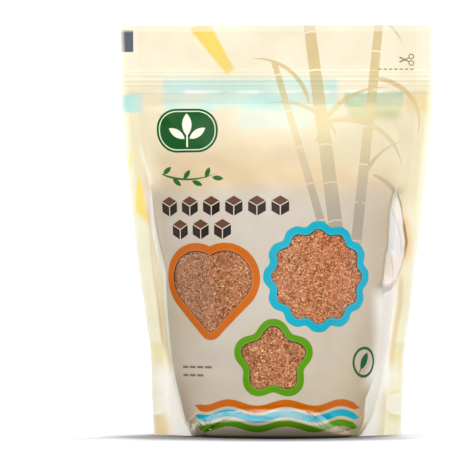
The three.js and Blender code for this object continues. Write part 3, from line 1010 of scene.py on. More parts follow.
def foot_film(s, color, u, v, left, right):
    """over the print: a painted highlight as a streaky haze on the roll at the foot, painted shade along the roll and
    towards the table, the corners with no sugar behind them painted near white for light shining through, painted
    glints, the round tacks
    """
    where = s.coords()
    high, low = s.along(u, ROLL_HIGH, -70.0, 60.0), s.along(u, ROLL_LOW, -70.0, 60.0)
    streak = s.noise(where, 240, 3, 0.6, (0.35, 1.0, 1.0))
    roll = s.ramp(v - high, 0.5, -0.5) * s.ramp(v - low, -0.6, 0.6)
    # painted highlight: a streaky pale haze over the roll, and a brighter line along its upper edge
    color = paler(s, color, roll, (234, 229, 219), s.ramp(streak, 0.3, 0.7) * 0.20 + 0.12)
    color = paler(s, color, s.ramp(s.absolute(v - high), 0.5, 0.1) * s.ramp(u, 44, 24) * s.ramp(u, -50, -30), (250, 245, 234), s.ramp(streak, 0.4, 0.65) * 0.34)
    # painted shade along the roll's lower edge, where the film turns under
    color = s.tint(color, s.ramp(s.absolute(v - low + 0.2), 0.9, 0.1) * s.ramp(u, 44, 24) * s.ramp(u, -56, -44), (182, 164, 138), 0.4)
    low_part = s.ramp(v, 44, 30)
    # the corners beside the sugar have no sugar behind them and are painted near white, for the light shining through
    # the thin film; a painted glint runs along the sugar's edge
    for d, line in ((left - u, 0.45), (u - right, 0.0)):
        color = paler(s, color, s.ramp(d, -1.2, 1.4) * s.ramp(d, 24, 14) * low_part, (255, 253, 246), 0.9)
        glint = s.ramp(s.absolute(d - 1.0), 1.2, 0.2) * s.ramp(streak, 0.38, 0.6)
        color = paler(s, color, glint * low_part, (255, 254, 250), 0.7)
        if line:
            color = s.tint(color, s.ramp(s.absolute(d + 0.45), 0.9, 0.1) * low_part, (196, 172, 136), line)
    color = s.tint(color, s.ramp(s.absolute(u - right - 0.4), 1.6, 0.3) * s.ramp(v, 16, 9), (240, 206, 150), 0.75)
    color = s.tint(color, s.ramp(u, -74, -79) * s.ramp(v, 14, 6), (244, 214, 160), 0.55)
    for cx in (-83.0, 82.6):
        x, y = u - cx, v - 17.0
        r = s.sqrt(x * x + y * y)
        color = paler(s, color, s.inside(r - 5.9, 0.3), (255, 253, 243), 0.8)
    # painted shade: darker towards the table, where the film rolls under
    color = s.tint(color, s.ramp(v, 10, 1) * s.ramp(s.absolute(u + 3), 56, 44), (168, 150, 128), 0.6)
    # painted shadow: nearly black along the bottom edge, in the gap under the roll
    return s.tint(color, s.ramp(v, 2.0, 0.3) * s.ramp(s.absolute(u + 3), 56, 46), (40, 32, 24), 0.9)


def edge_film(s, color, u, v):
    """the welded band along the top, a little paler, partly painted light shining through the thin welded film, and the
    cut edges, a little paler too
    """
    color = s.mix(s.ramp(v, 220.2, 221.2) * 0.40, color, linear((253, 250, 232)))
    return s.mix(s.ramp(s.absolute(u), 82.8, 84.8) * 0.6, color, linear((255, 252, 238)))


def through_film_and_glint(s, color, u, v):
    """print of the back, faint and uneven through the empty film, and a painted highlight line under the closing strip
    """
    where = s.coords()
    patch = s.noise(where, 34, 2, 0.5, (1.0, 1.0, 2.2))
    soft = s.ramp(patch, 0.30, 0.62) * 0.5 + 0.3
    band1 = box(s, u, v + (patch - 0.5) * 7.0, (-14.5, 186.0), 47.5, 8.6, 1.5)
    color = paler(s, color, s.inside(band1, 2.4) * s.ramp(v, 196.6, 194.2), (186, 224, 218), soft + 0.12)
    color = paler(s, color, s.inside(box(s, u, v, (-20, 193.0), 42, 3.3, 1.0), 0.8), (206, 230, 216), 0.4)
    color = paler(s, color, s.inside(box(s, u + (patch - 0.5) * 16.0, v, (-2.0, 172.6), 21, 7.0, 5), 4.0), (206, 228, 220), 0.5)
    color = paler(s, color, s.inside(box(s, u, v + (patch - 0.5) * 4.0, (-80, 181.5), 6.2, 4.6, 0.8), 1.1), (172, 226, 220), s.ramp(u, -70, -82) * 0.6 + 0.3)
    color = paler(s, color, s.inside(box(s, u, v, (53, 183.4), 16.2, 4.2, 1.6), 1.2), (172, 202, 168), soft + 0.15)
    color = s.tint(color, s.inside(box(s, u + (patch - 0.5) * 9.0, v, (53, 176.4), 14.0, 4.0, 2.6), 3.0), (220, 232, 198), 0.6)
    color = s.tint(color, s.inside(box(s, u, v + (patch - 0.5) * 5.0, (76.5, 181.5), 6.2, 5.6, 1.2), 1.6), (251, 232, 186), 0.55)
    # painted highlight: a pale line along the strip's lower flange
    glint = s.ramp(s.absolute(v - 187.6), 1.5, 0.3) * s.ramp(s.absolute(u), 80, 50)
    color = paler(s, color, glint * s.ramp(s.noise(where, 55, 2), 0.3, 0.62), (255, 253, 244), 0.75)
    stripe = s.inside(band(s, u, v, (-43, 225), (-25.5, 198.6), 5.6, 2.6), 0.9)
    color = s.tint(color, stripe, (254, 231, 116), s.ramp(v, 192, 212) * 0.25 + 0.68)
    # a warm crescent at the top of the left flank
    inner = u - s.along(v, [(112, -75.6), (114.7, -76.4), (120.4, -77.0), (128.9, -77.9), (136.6, -78.4), (142, -79.3), (150, -80.6)])
    outer = u - s.along(v, [(112, -83.9), (123, -83.3), (129, -82.8), (136.6, -81.6), (142, -80.0), (144.5, -79.2), (150, -77.0)])
    low_end = v + (u + 76.4) * 1.03
    crescent = s.ramp(inner, 0.5, -0.7) * s.ramp(outer, -0.6, 1.0) * s.ramp(low_end, 113.4, 116.6)
    color = paler(s, color, s.ramp(inner, 0.5, -0.7) * s.ramp(outer, -2.0, -0.2) * s.ramp(low_end, 111.8, 114.8) * s.ramp(v, 138, 126), (240, 240, 158), 0.6)
    color = paler(s, color, crescent, (255, 225, 118), 0.85)
    color = paler(s, color, s.inside(band(s, u, v, (-80.9, 157.0), (-84.6, 146.0), 0.45, 1.1), 0.9), (250, 230, 128), 0.62)
    spot_x, spot_y = (u + 84.4) * 0.42, (v - 149.0) * 0.16
    color = paler(s, color, s.inside(s.sqrt(spot_x * spot_x + spot_y * spot_y) - 0.7, 0.4), (236, 238, 140), 0.6)
    # pale lozenges along the fins
    loz = s.absolute(s.wrap(v - 3.0, 0.0, 26.0) - 13.0) - 8.2
    return s.tint(color, s.inside(loz, 1.4) * s.ramp(s.absolute(u), 77.5, 79) * s.ramp(v, 62, 52), (242, 242, 200), 0.65)


def left_flank(s, color, u, v):
    """pale film between the sugar and the seal, painted near white for the light on it, a painted highlight streak high
    up, and a tan painted shade along the seam
    """
    left = s.along(v, EDGE_LEFT)
    seam = u - s.along(v, SEAM_LEFT)
    # painted highlight: a pale streak down the upper flank
    color = paler(s, color, s.inside(band(s, u, v, (-77.2, 157.0), (-72.8, 137.0), 0.4, 1.3), 1.3), (252, 250, 238), 0.6)
    height_l = s.ramp(v, 38, 48) * s.ramp(v, 137, 128)
    white_w = s.ramp(v, 84, 96) * 1.0 + 3.4
    white_l = s.ramp(u - left, 0.35, -0.45) * s.ramp(u - (left - white_w), -1.1, 0.5)
    # the pale film with no sugar behind it, painted near white for the highlight along the sugar's edge
    color = paler(s, color, white_l * height_l, (243, 240, 232), 0.92)
    color = paler(s, color, s.ramp(u - (left - white_w), 0.8, -1.4) * s.ramp(seam, -0.6, 1.2) * s.ramp(v, 92, 84) * s.ramp(v, 40, 48), (232, 219, 182), 0.8)
    # painted shade: a tan line along the crease of the seam
    color = paler(s, color, s.ramp(s.absolute(seam - 0.4), 1.5, 0.1) * s.ramp(v, 44, 56) * s.ramp(v, 134, 118), SEAM_SHADE_TAN, s.ramp(v, 84, 58) * 0.45 + 0.38)
    return paler(s, color, s.ramp(s.absolute(seam - 0.8), 2.6, 0.4) * s.ramp(v, 110, 122) * s.ramp(v, 150, 138), (236, 206, 184), 0.6)


def leaf_mask(s, u, v):
    er, leaf_edge = u - s.along(v, EDGE_RIGHT), u - s.along(v, LEAF_RIGHT)
    return s.ramp(er, -0.35, 0.45) * s.ramp(leaf_edge, 0.5, -0.4) * s.ramp(v, 82, 87) * s.ramp(v, 137, 131)


def right_flank(s, color, u, v):
    """the pinched film: pale inside, with painted highlights and a cool painted shade, warm at its outer lip, with a
    dark painted shadow along the lip; a pale strip, painted lighter for the light on it, and a tan painted shade run
    down from it
    """
    er, leaf_edge = u - s.along(v, EDGE_RIGHT), u - s.along(v, LEAF_RIGHT)
    in_leaf = leaf_mask(s, u, v)
    # painted light in the pinch: pale with no sugar behind it and lighter for the light on its facet, a cool painted
    # shade left of the crease, darker painted shade along the crease and along a second fold line, and a white painted
    # highlight streak
    color = paler(s, color, in_leaf, (245, 237, 226), 0.95)
    crease = u - s.along(v, LEAF_CREASE)
    color = paler(s, color, in_leaf * s.ramp(crease, 0.5, -1.0) * s.ramp(v, 96, 101) * s.ramp(v, 127, 120), (236, 236, 238), 0.85)
    color = paler(s, color, in_leaf * s.ramp(s.absolute(crease), 1.1, 0.1) * s.ramp(v, 98, 104) * s.ramp(v, 127, 120), (214, 206, 206), 0.75)
    color = paler(s, color, in_leaf * s.ramp(s.absolute(u - s.along(v, [(86, 72.0), (97, 68.3)])), 1.0, 0.1) * s.ramp(v, 84, 89) * s.ramp(v, 99, 95), (204, 196, 190), 0.7)
    color = paler(s, color, in_leaf * s.ramp(s.absolute(v - 99.5 + (u - 69) * 0.4), 1.8, 0.3) * s.ramp(s.absolute(u - 69.5), 3.4, 1.0), (252, 250, 249), 0.8)
    color = paler(s, color, s.ramp(leaf_edge, 5.0, 0.6) * s.ramp(leaf_edge, -0.3, 0.3) * s.ramp(v, 88, 102) * s.ramp(v, 127, 114), (246, 208, 146), 0.8)
    # painted shadow: a dark brown line along the outer lip, widest in its middle
    thick = s.ramp(s.absolute(v - 109), 16, 4)
    lip = s.ramp(s.absolute(leaf_edge + 0.1) - thick * 0.35, 0.7, 0.1)
    color = paler(s, color, lip * s.ramp(v, 80, 88) * s.ramp(v, 134, 126), (150, 116, 66), thick * 0.55 + 0.30)
    # small fold under it with a painted highlight on top, its painted shadow, and the pale film that runs down from
    # there, painted lighter for the light on it
    over, under = s.along(u, [(62, 81.2), (68.5, 82.5), (75, 84.8)], 55, 90), s.along(u, [(62, 76.6), (70.5, 78.9), (75, 84.4)], 55, 90)
    color = paler(s, color, s.ramp(er, -1.6, 0.2) * s.ramp(u, 74.5, 72.0) * s.ramp(v - over, -0.3, 0.6) * s.ramp(v - over, 5.0, 1.5), (238, 232, 226), 0.7)
    low_r = s.ramp(v, 84, 79) * s.ramp(v, 22, 34)
    color = paler(s, color, s.ramp(er, -13.0, -1.5) * s.ramp(u, 79.0, 73.0) * low_r * s.ramp(v, 84, 72), (251, 246, 240), 0.95)
    color = paler(s, color, s.ramp(er, -1.2, 1.4) * s.ramp(u, 79.0, 73.0) * low_r, (252, 248, 247), 0.9)
    color = paler(s, color, s.ramp(s.absolute(u - 75.3), 2.6, 0.6) * low_r, (255, 252, 243), 0.8)
    color = paler(s, color, s.ramp(v - under, -0.5, 0.5) * s.ramp(v - over, 0.5, -0.5) * s.ramp(er, -2.4, -0.8) * s.ramp(u, 76.0, 74.0), (204, 199, 204), 0.85)
    # painted shade: a tan line along the crease by the seam
    tan_r = u - s.along(v, SEAM_RIGHT)
    return paler(s, color, s.ramp(s.absolute(tan_r), 2.2, 0.5) * s.ramp(v, 92, 82) * s.ramp(v, 24, 36), (232, 210, 164), 0.75)


def cane_print(s, color, u, v):
    """two tall jointed stalks and long arching leaves"""
    cane = None
    for p, q, w0, w1, shift in (((33, 106), (17.5, 226), 4.1, 3.0, 0.0), ((44, 104), (56, 226), 3.2, 2.3, 9.0), ((25.5, 110), (-1.5, 204), 2.3, 1.6, 4.0)):
        d = band(s, u, v, p, q, w0, w1)
        x, y = turned(s, u, v, p, math.degrees(math.atan2(q[1] - p[1], q[0] - p[0])))
        notch = s.absolute(s.wrap(x + (y * y) * 0.05 + shift, 0.0, 21.0) - 10.5) - 0.42
        d = s.maximum(d, notch * -1.0)
        cane = d if cane is None else s.minimum(cane, d)
    for c, R, m, span, w, tp in (
            ((59, 152), 38, 128, 82, 1.5, -1), ((38, 138), 34, 62, 96, 1.7, -1), ((52, 168), 27, 40, 104, 1.4, -1),
            ((2, 148), 34, 66, 78, 1.3, 1), ((-12, 176), 30, 52, 84, 1.25, 1), ((80, 128), 34, 148, 88, 1.35, -1),
            ((44, 112), 31, 30, 84, 1.4, -1), ((46, 206), 24, 64, 92, 1.1, -1)):
        cane = s.minimum(cane, blade(s, u, v, c, R, m, span, w, tp))
    mask = s.inside(cane, 0.14) * s.ramp(s.absolute(u), 82, 79) * (1.0 - leaf_mask(s, u, v))
    tone = s.mix(s.ramp(v, 176, 118), linear((223, 207, 163)), linear((166, 154, 138)))
    return s.mix(mask * 0.92, color, s.mix(s.ramp(v, 172, 196) * 0.75, tone, s.tint(color, s.ramp(v, 0, 1), (226, 208, 166)), "MIX"))


def label_print(s, color, u, v):
    """a plain green oval tag with a sprig, and a twig under it"""
    tag = box(s, u, v, (-49.5, 166.0), 17.2, 12.2, 11.6)
    color = s.paint(color, s.inside(tag, 0.12), DEEP_GREEN)
    color = s.paint(color, s.inside(s.absolute(tag + 1.5) - 0.3, 0.1), (214, 232, 200))
    sprig = leaf(s, u, v, (-49.5, 169.2), 90, 12.5, 5.2)
    for c, deg, L, w in (((-55.3, 164.4), 146, 10.5, 4.2), ((-43.7, 164.4), 34, 10.5, 4.2)):
        sprig = s.minimum(sprig, leaf(s, u, v, c, deg, L, w))
    sprig = s.minimum(sprig, band(s, u, v, (-49.5, 156.8), (-49.5, 166), 0.45, 0.35))
    color = s.paint(color, s.inside(sprig, 0.12), (240, 244, 222))
    twig = blade(s, u, v, (-49, 181), 42, -90, 46, 0.62, 1)
    for k in range(6):
        a = math.radians(-110 + 8.2 * k)
        cx, cz = -49 + 42 * math.cos(a), 181 + 42 * math.sin(a)
        up = k % 2 == 0
        twig = s.minimum(twig, leaf(s, u, v, (cx + 1.6, cz + (2.5 if up else -2.3)), -8 + 8 * k + (46 if up else -40), 6.4, 2.7))
    return s.paint(color, s.inside(twig, 0.12), (22, 98, 40))


def cube_print(s, color, u, v):
    """rows of sugar cubes, dark on the light film"""
    for zc, u_from, count, step, size in ((124.2, -67.5, 6, 12.6, 5.5), (111.6, -61.2, 3, 12.6, 5.5)):
        x = s.wrap(u - u_from, 0.0, step) - step / 2
        y = v - zc
        ax, ay = s.absolute(x), s.absolute(y)
        hexa = s.maximum(ax, ax * 0.5 + ay * 0.866) - size * 0.866
        hexa = s.maximum(hexa, box(s, u, v, (u_from + count * step / 2, zc), count * step / 2, 8, 0))
        top = y - ax * 0.577
        m = s.inside(hexa, 0.1)
        color = s.paint(color, m, (48, 28, 22))
        color = s.paint(color, m * s.inside(x * -1.0, 0.05), (30, 18, 16))
        color = s.paint(color, m * s.inside(top * -1.0, 0.05), (96, 58, 38))
        gap = s.minimum(s.absolute(top) * 0.866 - 0.22, s.maximum(ax - 0.24, top))
        color = s.paint(color, m * s.inside(gap, 0.08), (226, 214, 194))
    return color


def rim_print(s, color, u, v):
    """window rims in three colours, and the waves above the foot"""
    for f, rgb, w in ((window_b, ORANGE, 4.4), (window_a, BLUE, 4.4), (window_c, GREEN, 3.9)):
        d = f(s, u, v)
        body = s.inside(d - w, 0.13)
        color = s.paint(color, body, rgb)
        light = tuple(min(255, int(c + (255 - c) * 0.42)) for c in rgb)
        color = s.paint(color, body * s.inside(s.absolute(d - 0.55) - 0.18, 0.12), light, 0.35)
        color = s.paint(color, body * s.inside(s.absolute(d - w + 0.05) - 0.16, 0.12), tuple(int(c * 0.72) for c in rgb), 0.5)
        color = s.paint(color, s.inside(d - 0.22, 0.1), (56, 34, 26), 0.85)
    reach = s.ramp(s.absolute(u), 50, 44)
    for zc, rgb, w in ((17.0, ORANGE, 1.9), (11.7, BLUE, 1.85), (6.4, GREEN, 1.8)):
        line = v - (s.sin(u * (2 * math.pi / 31) + 0.6) * 1.6 + zc)
        color = s.paint(color, s.inside(s.absolute(line) - reach * w, 0.13) * s.ramp(reach, 0.0, 0.06), rgb)
    return color


def small_print(s, color, u, v):
    """plain ring with a leaf, a few short rules, scissors and cut line, press mark"""
    disc = ring(s, u, v, (51.5, 40.0), 7.6, 0.75)
    color = s.paint(color, s.inside(disc, 0.1), (30, 92, 62))
    color = s.paint(color, s.inside(s.minimum(leaf(s, u, v, (51.5, 40.6), 62, 10.2, 4.4), band(s, u, v, (48.2, 34.6), (51, 40), 0.35, 0.3)), 0.1), (30, 92, 62))
    for zc, n in ((37.4, 22.0), (33.0, 16.5)):
        rule = box(s, u, v, (-58 + n / 2, zc), n / 2, 0.62, 0.5)
        dash = s.absolute(s.wrap(u + 58, 0.0, 5.5) - 2.75) - 2.2
        color = s.paint(color, s.inside(s.maximum(rule, dash), 0.12), (84, 76, 68), 0.8)
    ink = (140, 122, 78)
    cutter = s.minimum(ring(s, u, v, (73.6, 206.9), 1.25, 0.26), ring(s, u, v, (73.6, 203.3), 1.25, 0.26))
    cutter = s.minimum(cutter, band(s, u, v, (72.5, 206.2), (67.2, 203.9), 0.3, 0.42))
    cutter = s.minimum(cutter, band(s, u, v, (72.5, 204.0), (67.2, 206.5), 0.3, 0.42))
    color = s.paint(color, s.inside(cutter, 0.14), ink)
    dash = s.maximum(s.absolute(s.wrap(u - 55, 0.0, 2.9) - 1.45) - 0.95, box(s, u, v, (65.2, 199.9), 10.2, 0.42, 0.1))
    color = s.paint(color, s.inside(dash, 0.14), ink, 0.8)
    color = s.paint(color, s.inside(box(s, u, v, (-82.0, 215.6), 3.2, 6.0, 0.3), 0.12), (92, 99, 112))
    return s.paint(color, s.inside(box(s, u, v, (-84.6, 215.6), 0.9, 6.0, 0.2), 0.2), (50, 56, 66))


def front_material():
    s = Shader("printed_film_front")
    left, right = (lambda g, v: g.along(v, EDGE_LEFT)), (lambda g, v: g.along(v, EDGE_RIGHT))
    color = s.step("film_ground", linear(CREAM), lambda g, c, u, v: base_film(g, c, u, v, left(g, v), right(g, v)))
    for name, make in (("film_through_and_glint", through_film_and_glint), ("film_left", left_flank), ("film_right", right_flank), ("print_cane", cane_print),
                       ("print_label", label_print), ("print_cubes", cube_print), ("print_rims", rim_print), ("print_small", small_print)):
        color = s.step(name, color, make)
    color = s.step("film_foot", color, lambda g, c, u, v: foot_film(g, c, u, v, left(g, v), right(g, v)))
    color = s.step("film_edges", color, edge_film)
    fill = s.measure("sugar_front", lambda g, u, v: sugar_level(g, u, v, left(g, v), right(g, v)))
    s.links.new(film_finish(s, color, fill, 1.0, s.measure("foot_folds", crease_height)), s.out.inputs["Surface"])
    return s.mat


def back_print(s, color, u, v):
    """as read from behind: colour bars, a blank ruled panel, cubes, waves and leaves"""
    u = u * -1.0
    color = s.paint(color, s.inside(box(s, u, v, (14.5, 186.5), 48, 9.2, 1.5), 0.15), (90, 196, 204))
    color = s.paint(color, s.inside(box(s, u, v, (79, 181.5), 6.2, 4.4, 0.8), 0.15), (90, 196, 204))
    color = s.paint(color, s.inside(box(s, u, v, (-53, 182.6), 16.2, 4.3, 1.6), 0.15), (128, 176, 62))
    color = s.paint(color, s.inside(band(s, u, v, (43, 225), (25.5, 198.6), 5.6, 2.6), 0.15), (250, 208, 60))
    color = s.paint(color, s.inside(leaf(s, u, v, (79.0, 134), 84, 40, 9), 0.2), (250, 208, 60))
    panel = box(s, u, v, (-24, 108), 34, 46, 3)
    color = s.paint(color, s.inside(panel, 0.13), (232, 227, 213))
    color = s.paint(color, s.inside(s.absolute(panel + 1.6) - 0.28, 0.1), (92, 66, 48))
    rules = s.maximum(s.absolute(s.wrap(v - 66, 0.0, 8.2) - 4.1) - 0.22, box(s, u, v, (-24, 108), 29, 40, 0))
    color = s.paint(color, s.inside(rules, 0.1), (120, 98, 80))
    cubes = s.wrap(v - 66, 0.0, 15.0) - 7.5
    x = u - 40
    ax, ay = s.absolute(x), s.absolute(cubes)
    hexa = s.maximum(s.maximum(ax, ax * 0.5 + ay * 0.866) - 5.2, box(s, u, v, (40, 103.5), 9, 37.5, 0))
    top = cubes - ax * 0.577
    m = s.inside(hexa, 0.1)
    color = s.paint(color, m, (84, 50, 34))
    color = s.paint(color, m * s.inside(x * -1.0, 0.05), (56, 32, 24))
    color = s.paint(color, m * s.inside(top * -1.0, 0.05), (138, 94, 64))
    for zc, rgb, w in ((43, ORANGE, 2.6), (36, BLUE, 2.4), (29.6, GREEN, 2.2)):
        line = s.absolute(v - (s.sin(u * (2 * math.pi / 34) + 1.2) * 2.6 + zc)) - w
        color = s.paint(color, s.inside(line, 0.13) * s.ramp(s.absolute(u), 62, 60), rgb)
    sprig = leaf(s, u, v, (0, 166), 12, 22, 7)
    sprig = s.minimum(sprig, leaf(s, u, v, (-16, 163), 160, 18, 6))
    sprig = s.minimum(sprig, leaf(s, u, v, (17, 163), 24, 15, 5))
    return s.paint(color, s.inside(sprig, 0.13), (60, 124, 52))


def back_material():
    s = Shader("printed_film_back")
    mirrored = [(a, -b) for a, b in EDGE_BACK]
    left, right = (lambda g, v: g.along(v, mirrored)), (lambda g, v: g.along(v, EDGE_BACK))
    color = s.step("back_ground", linear(CREAM), lambda g, c, u, v: base_film(g, c, u, v, left(g, v), right(g, v)))
    color = s.step("back_print", color, back_print)
    color = s.step("back_foot", color, lambda g, c, u, v: foot_film(g, c, u * -1.0, v, left(g, v), right(g, v)))
    color = s.step("back_edges", color, edge_film)
    fill = s.measure("sugar_back", lambda g, u, v: sugar_level(g, u, v, left(g, v), right(g, v)))
    s.links.new(film_finish(s, color, fill), s.out.inputs["Surface"])
    return s.mat


def gusset_material():
    s = Shader("gusset_film")
    where = s.coords()
    sep = s.nodes.new("ShaderNodeSeparateXYZ")
    s.links.new(where, sep.inputs[0])
    z = Value(s, sep.outputs[2])
    color = s.mix(s.ramp(z, 0.0, 0.008), linear((206, 190, 162)), linear((244, 234, 206)))
    color = s.mix(s.ramp(s.noise(where, 60, 3), 0.35, 0.7) * 0.35, color, linear((188, 166, 130)))
    n = s.bump(s.noise(where, 260, 3, 0.6), 0.3, 0.0006)
    s.links.new(s.principled(color, s.noise(where, 90, 2) * 0.15 + 0.3, n, IOR=1.5), s.out.inputs["Surface"])
    return s.mat


def pane_material():
    s = Shader("clear_film")
    where = s.coords()
    n = s.bump(s.noise(where, 170, 2), 0.10, 0.0005)
    gloss = s.principled(linear((255, 255, 255)), s.noise(where, 80, 2) * 0.08 + 0.12, n, Metallic=1.0)
    clear = s.nodes.new("ShaderNodeBsdfTransparent")
    clear.inputs["Color"].default_value = (0.985, 0.98, 0.97, 1)
    edge = s.nodes.new("ShaderNodeFresnel")
    edge.inputs["IOR"].default_value = 1.38
    s.links.new(n, edge.inputs["Normal"])
    mix = s.nodes.new("ShaderNodeMixShader")
    s.put(mix.inputs["Fac"], Value(s, edge.outputs[0]) * 0.20)
    s.links.new(clear.outputs[0], mix.inputs[1])
    s.links.new(gloss, mix.inputs[2])
    s.links.new(mix.outputs[0], s.out.inputs["Surface"])
    return s.mat


SUGAR_DARK, SUGAR_MID, SUGAR_LIGHT = (144, 78, 42), (222, 150, 98), (252, 206, 156)


def sugar_shade_and_hue(s, color, where):
    """darker towards the left, a painted shade, and browner towards the right"""
    sep = s.nodes.new("ShaderNodeSeparateXYZ")
    s.links.new(where, sep.inputs[0])
    x = Value(s, sep.outputs[0]) + (s.noise(where, 90, 2) - 0.5) * 0.016
    color = s.tint(color, s.ramp(x, 0.004, -0.052), (220, 217, 204), 0.9)
    return s.tint(color, s.ramp(x, 0.0, 0.046), (249, 228, 196), 0.8)


def sugar_material():
    s = Shader("brown_sugar")
    where = s.coords()
    a = s.noise(where, 1100, 3, 0.65)
    b = s.noise(where, 260, 2, 0.5)
    color = s.mix(s.ramp(a * 0.75 + b * 0.25, 0.36, 0.62), linear((140, 78, 42)), linear((216, 146, 96)))
    color = sugar_shade_and_hue(s, color, where)
    n = s.bump(a, 0.8, 0.0004)
    s.links.new(s.principled(color, 0.5, n, IOR=1.5), s.out.inputs["Surface"])
    return s.mat


def crystal_material():
    s = Shader("brown_sugar_crystals")
    tone = Value(s, s.attribute("tone").outputs["Fac"])
    where = s.coords()
    a = s.noise(where, 2600, 2, 0.5)
    color = s.mix(s.ramp(tone, 0.05, 0.5), linear(SUGAR_DARK), linear(SUGAR_MID))
    color = s.mix(s.ramp(tone, 0.55, 0.98), color, linear(SUGAR_LIGHT))
    color = s.mix(s.ramp(a, 0.35, 0.7) * 0.3, color, linear((176, 112, 72)))
    color = sugar_shade_and_hue(s, color, where)
    n = s.bump(a, 0.3, 0.0001)
    s.links.new(s.principled(color, s.noise(where, 1800, 2) * 0.2 + 0.22, n, IOR=1.52), s.out.inputs["Surface"])
    return s.mat


clear, sweet, bright = pane_material(), sugar_material(), crystal_material()
for ob, mat, name in ([(film_front, front_material(), "printed_film"), (film_back, back_material(), "printed_film"),
                       (film_gusset, gusset_material(), "printed_film"), (sugar, sweet, "brown_sugar"), (grains, bright, "brown_sugar")]
                      + [(p, clear, "clear_film") for p in panes] + [(p, sweet, "brown_sugar") for p in relief_parts]):
    ob.data.materials.append(mat)
    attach(ob, "root")
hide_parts("pouch")
for ob in [film_back, film_gusset, sugar, grains] + panes + relief_parts:
    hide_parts("pouch")

# ======================================================================
# Studio: pale floor, soft light, camera at the photograph's angle
# ======================================================================
def make_floor():
    s = Shader("floor")
    where = s.coords()
    tone = s.mix(s.ramp(s.noise(where, 3, 2), 0.3, 0.7), linear((148, 148, 149)), linear((151, 151, 151)))
    sep = s.nodes.new("ShaderNodeSeparateXYZ")
    s.links.new(where, sep.inputs[0])
    fx, fy = Value(s, sep.outputs[0]), Value(s, sep.outputs[1])
    r = s.sqrt(fx * fx + fy * fy)
    ex, ey = fx * (1 / 0.094), fy * (1 / 0.068)
    near = s.sqrt(ex * ex + ey * ey)
    # the table glows by position: white away from the pouch and behind it, dimmer close around the foot, which leaves a
    # painted soft shadow there
    glow = s.maximum(s.ramp(near, 0.90, 1.20) * 0.34, s.ramp(fy, 0.0, 0.05) * 0.5) + s.ramp(r, 0.3, 2.5) * 0.6 + s.ramp(s.absolute(fx), 0.060, 0.088) * 0.15
    # painted shadow on the table: a soft darker zone in front of the rolled foot, and a thin dark crescent right under
    # it
    gap = fy * -1.0 - 0.0392 + fx * fx * 11.0
    tone = s.mix(s.ramp(gap, 0.048, 0.004) * s.ramp(s.absolute(fx + 0.004), 0.075, 0.045) * s.ramp(fy, -0.004, -0.016) * 0.45, tone, linear((8, 7, 6)))
    tone = s.mix(s.ramp(gap, 0.0120, 0.0050) * s.ramp(s.absolute(fx + 0.004), 0.058, 0.038) * s.ramp(fy, -0.004, -0.016) * 0.97, tone, linear((8, 7, 6)))
    bsdf = s.principled(tone, 0.85, None, Specular_IOR_Level=0.1, Emission_Color=(1, 1, 1, 1))
    s.put(bsdf.node.inputs["Emission Strength"], glow)
    s.links.new(bsdf, s.out.inputs["Surface"])
    me = bpy.data.meshes.new("floor")
    r = 8.0
    me.from_pydata([(-r, -r, 0), (r, -r, 0), (r, r, 0), (-r, r, 0)], [], [(0, 1, 2, 3)])
    me.materials.append(s.mat)
    ob = bpy.data.objects.new("floor", me)
    bpy.context.scene.collection.objects.link(ob)
    ob.visible_diffuse = ob.visible_glossy = False       # the table sends no light up under the foot


def area_light(name, location, target, size, size_y, power, color=(1, 1, 1)):
    data = bpy.data.lights.new(name, "AREA")
    data.shape = "RECTANGLE"
    data.size, data.size_y, data.energy, data.color = size, size_y, power, color
    ob = bpy.data.objects.new(name, data)
    ob.location = location
    ob.rotation_euler = (Vector(target) - Vector(location)).to_track_quat("-Z", "Y").to_euler()
    bpy.context.scene.collection.objects.link(ob)


make_floor()
area_light("side_left", (-0.95, -0.50, 0.32), (0, 0, 0.10), 0.6, 0.9, 3.6)
area_light("side_right", (0.95, -0.50, 0.32), (0, 0, 0.10), 0.6, 0.9, 5.3)
area_light("front_top", (-0.10, -1.10, 0.88), (0, 0, 0.12), 0.9, 0.55, 10.5)
area_light("top_back", (0.26, 0.34, 1.32), (0, 0, 0), 0.34, 0.34, 34.0)
area_light("back", (0.0, 1.2, 0.5), (0, 0, 0.1), 1.2, 0.6, 0.6)

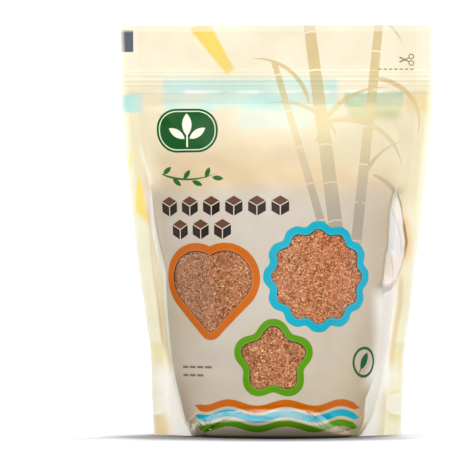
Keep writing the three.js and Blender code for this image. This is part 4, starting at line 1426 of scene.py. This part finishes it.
world = bpy.data.worlds.new("studio")
bpy.context.scene.world = world
world.use_nodes = True
nodes, links = world.node_tree.nodes, world.node_tree.links
bg = nodes["Background"]
# white room above, little light from below the table
sky, split, rise = nodes.new("ShaderNodeTexCoord"), nodes.new("ShaderNodeSeparateXYZ"), nodes.new("ShaderNodeMapRange")
rise.inputs["From Min"].default_value, rise.inputs["From Max"].default_value = -0.12, 0.12
rise.inputs["To Min"].default_value, rise.inputs["To Max"].default_value = 0.12, 0.62
links.new(sky.outputs["Generated"], split.inputs[0])
links.new(split.outputs[2], rise.inputs["Value"])
links.new(rise.outputs["Result"], bg.inputs["Strength"])
bg.inputs["Color"].default_value = (1, 1, 1, 1)
white = nodes.new("ShaderNodeBackground")
white.inputs["Color"].default_value = (1, 1, 1, 1)
white.inputs["Strength"].default_value = 1.05
path, both = nodes.new("ShaderNodeLightPath"), nodes.new("ShaderNodeMixShader")
links.new(path.outputs["Is Camera Ray"], both.inputs["Fac"])
links.new(bg.outputs[0], both.inputs[1])
links.new(white.outputs[0], both.inputs[2])
links.new(both.outputs[0], nodes["World Output"].inputs["Surface"])

view = bpy.context.scene.view_settings
view.view_transform, view.look, view.exposure, view.gamma = "Standard", "None", 0.0, 1.0

SIZE, SCALE = 462, 0.547           # frame in pixels, mm a pixel at the pouch's middle plane
DISTANCE, CAMERA_Z, AIM_Z = 1.400, 0.066, 0.1113
cam_data = bpy.data.cameras.new("camera")
cam_data.sensor_fit, cam_data.sensor_width = "AUTO", 36.0
cam_data.lens = 36.0 * DISTANCE / (SIZE * SCALE * MM)
cam_data.clip_start, cam_data.clip_end = 0.05, 50
cam = bpy.data.objects.new("camera", cam_data)
bpy.context.scene.collection.objects.link(cam)
pan = math.atan((277.0 - SIZE / 2) * SCALE * MM / DISTANCE)
cam.location = (0.0, -DISTANCE, CAMERA_Z)
cam.rotation_euler = (math.radians(90) + math.atan((AIM_Z - CAMERA_Z) / DISTANCE), 0, pan)
bpy.context.scene.camera = cam
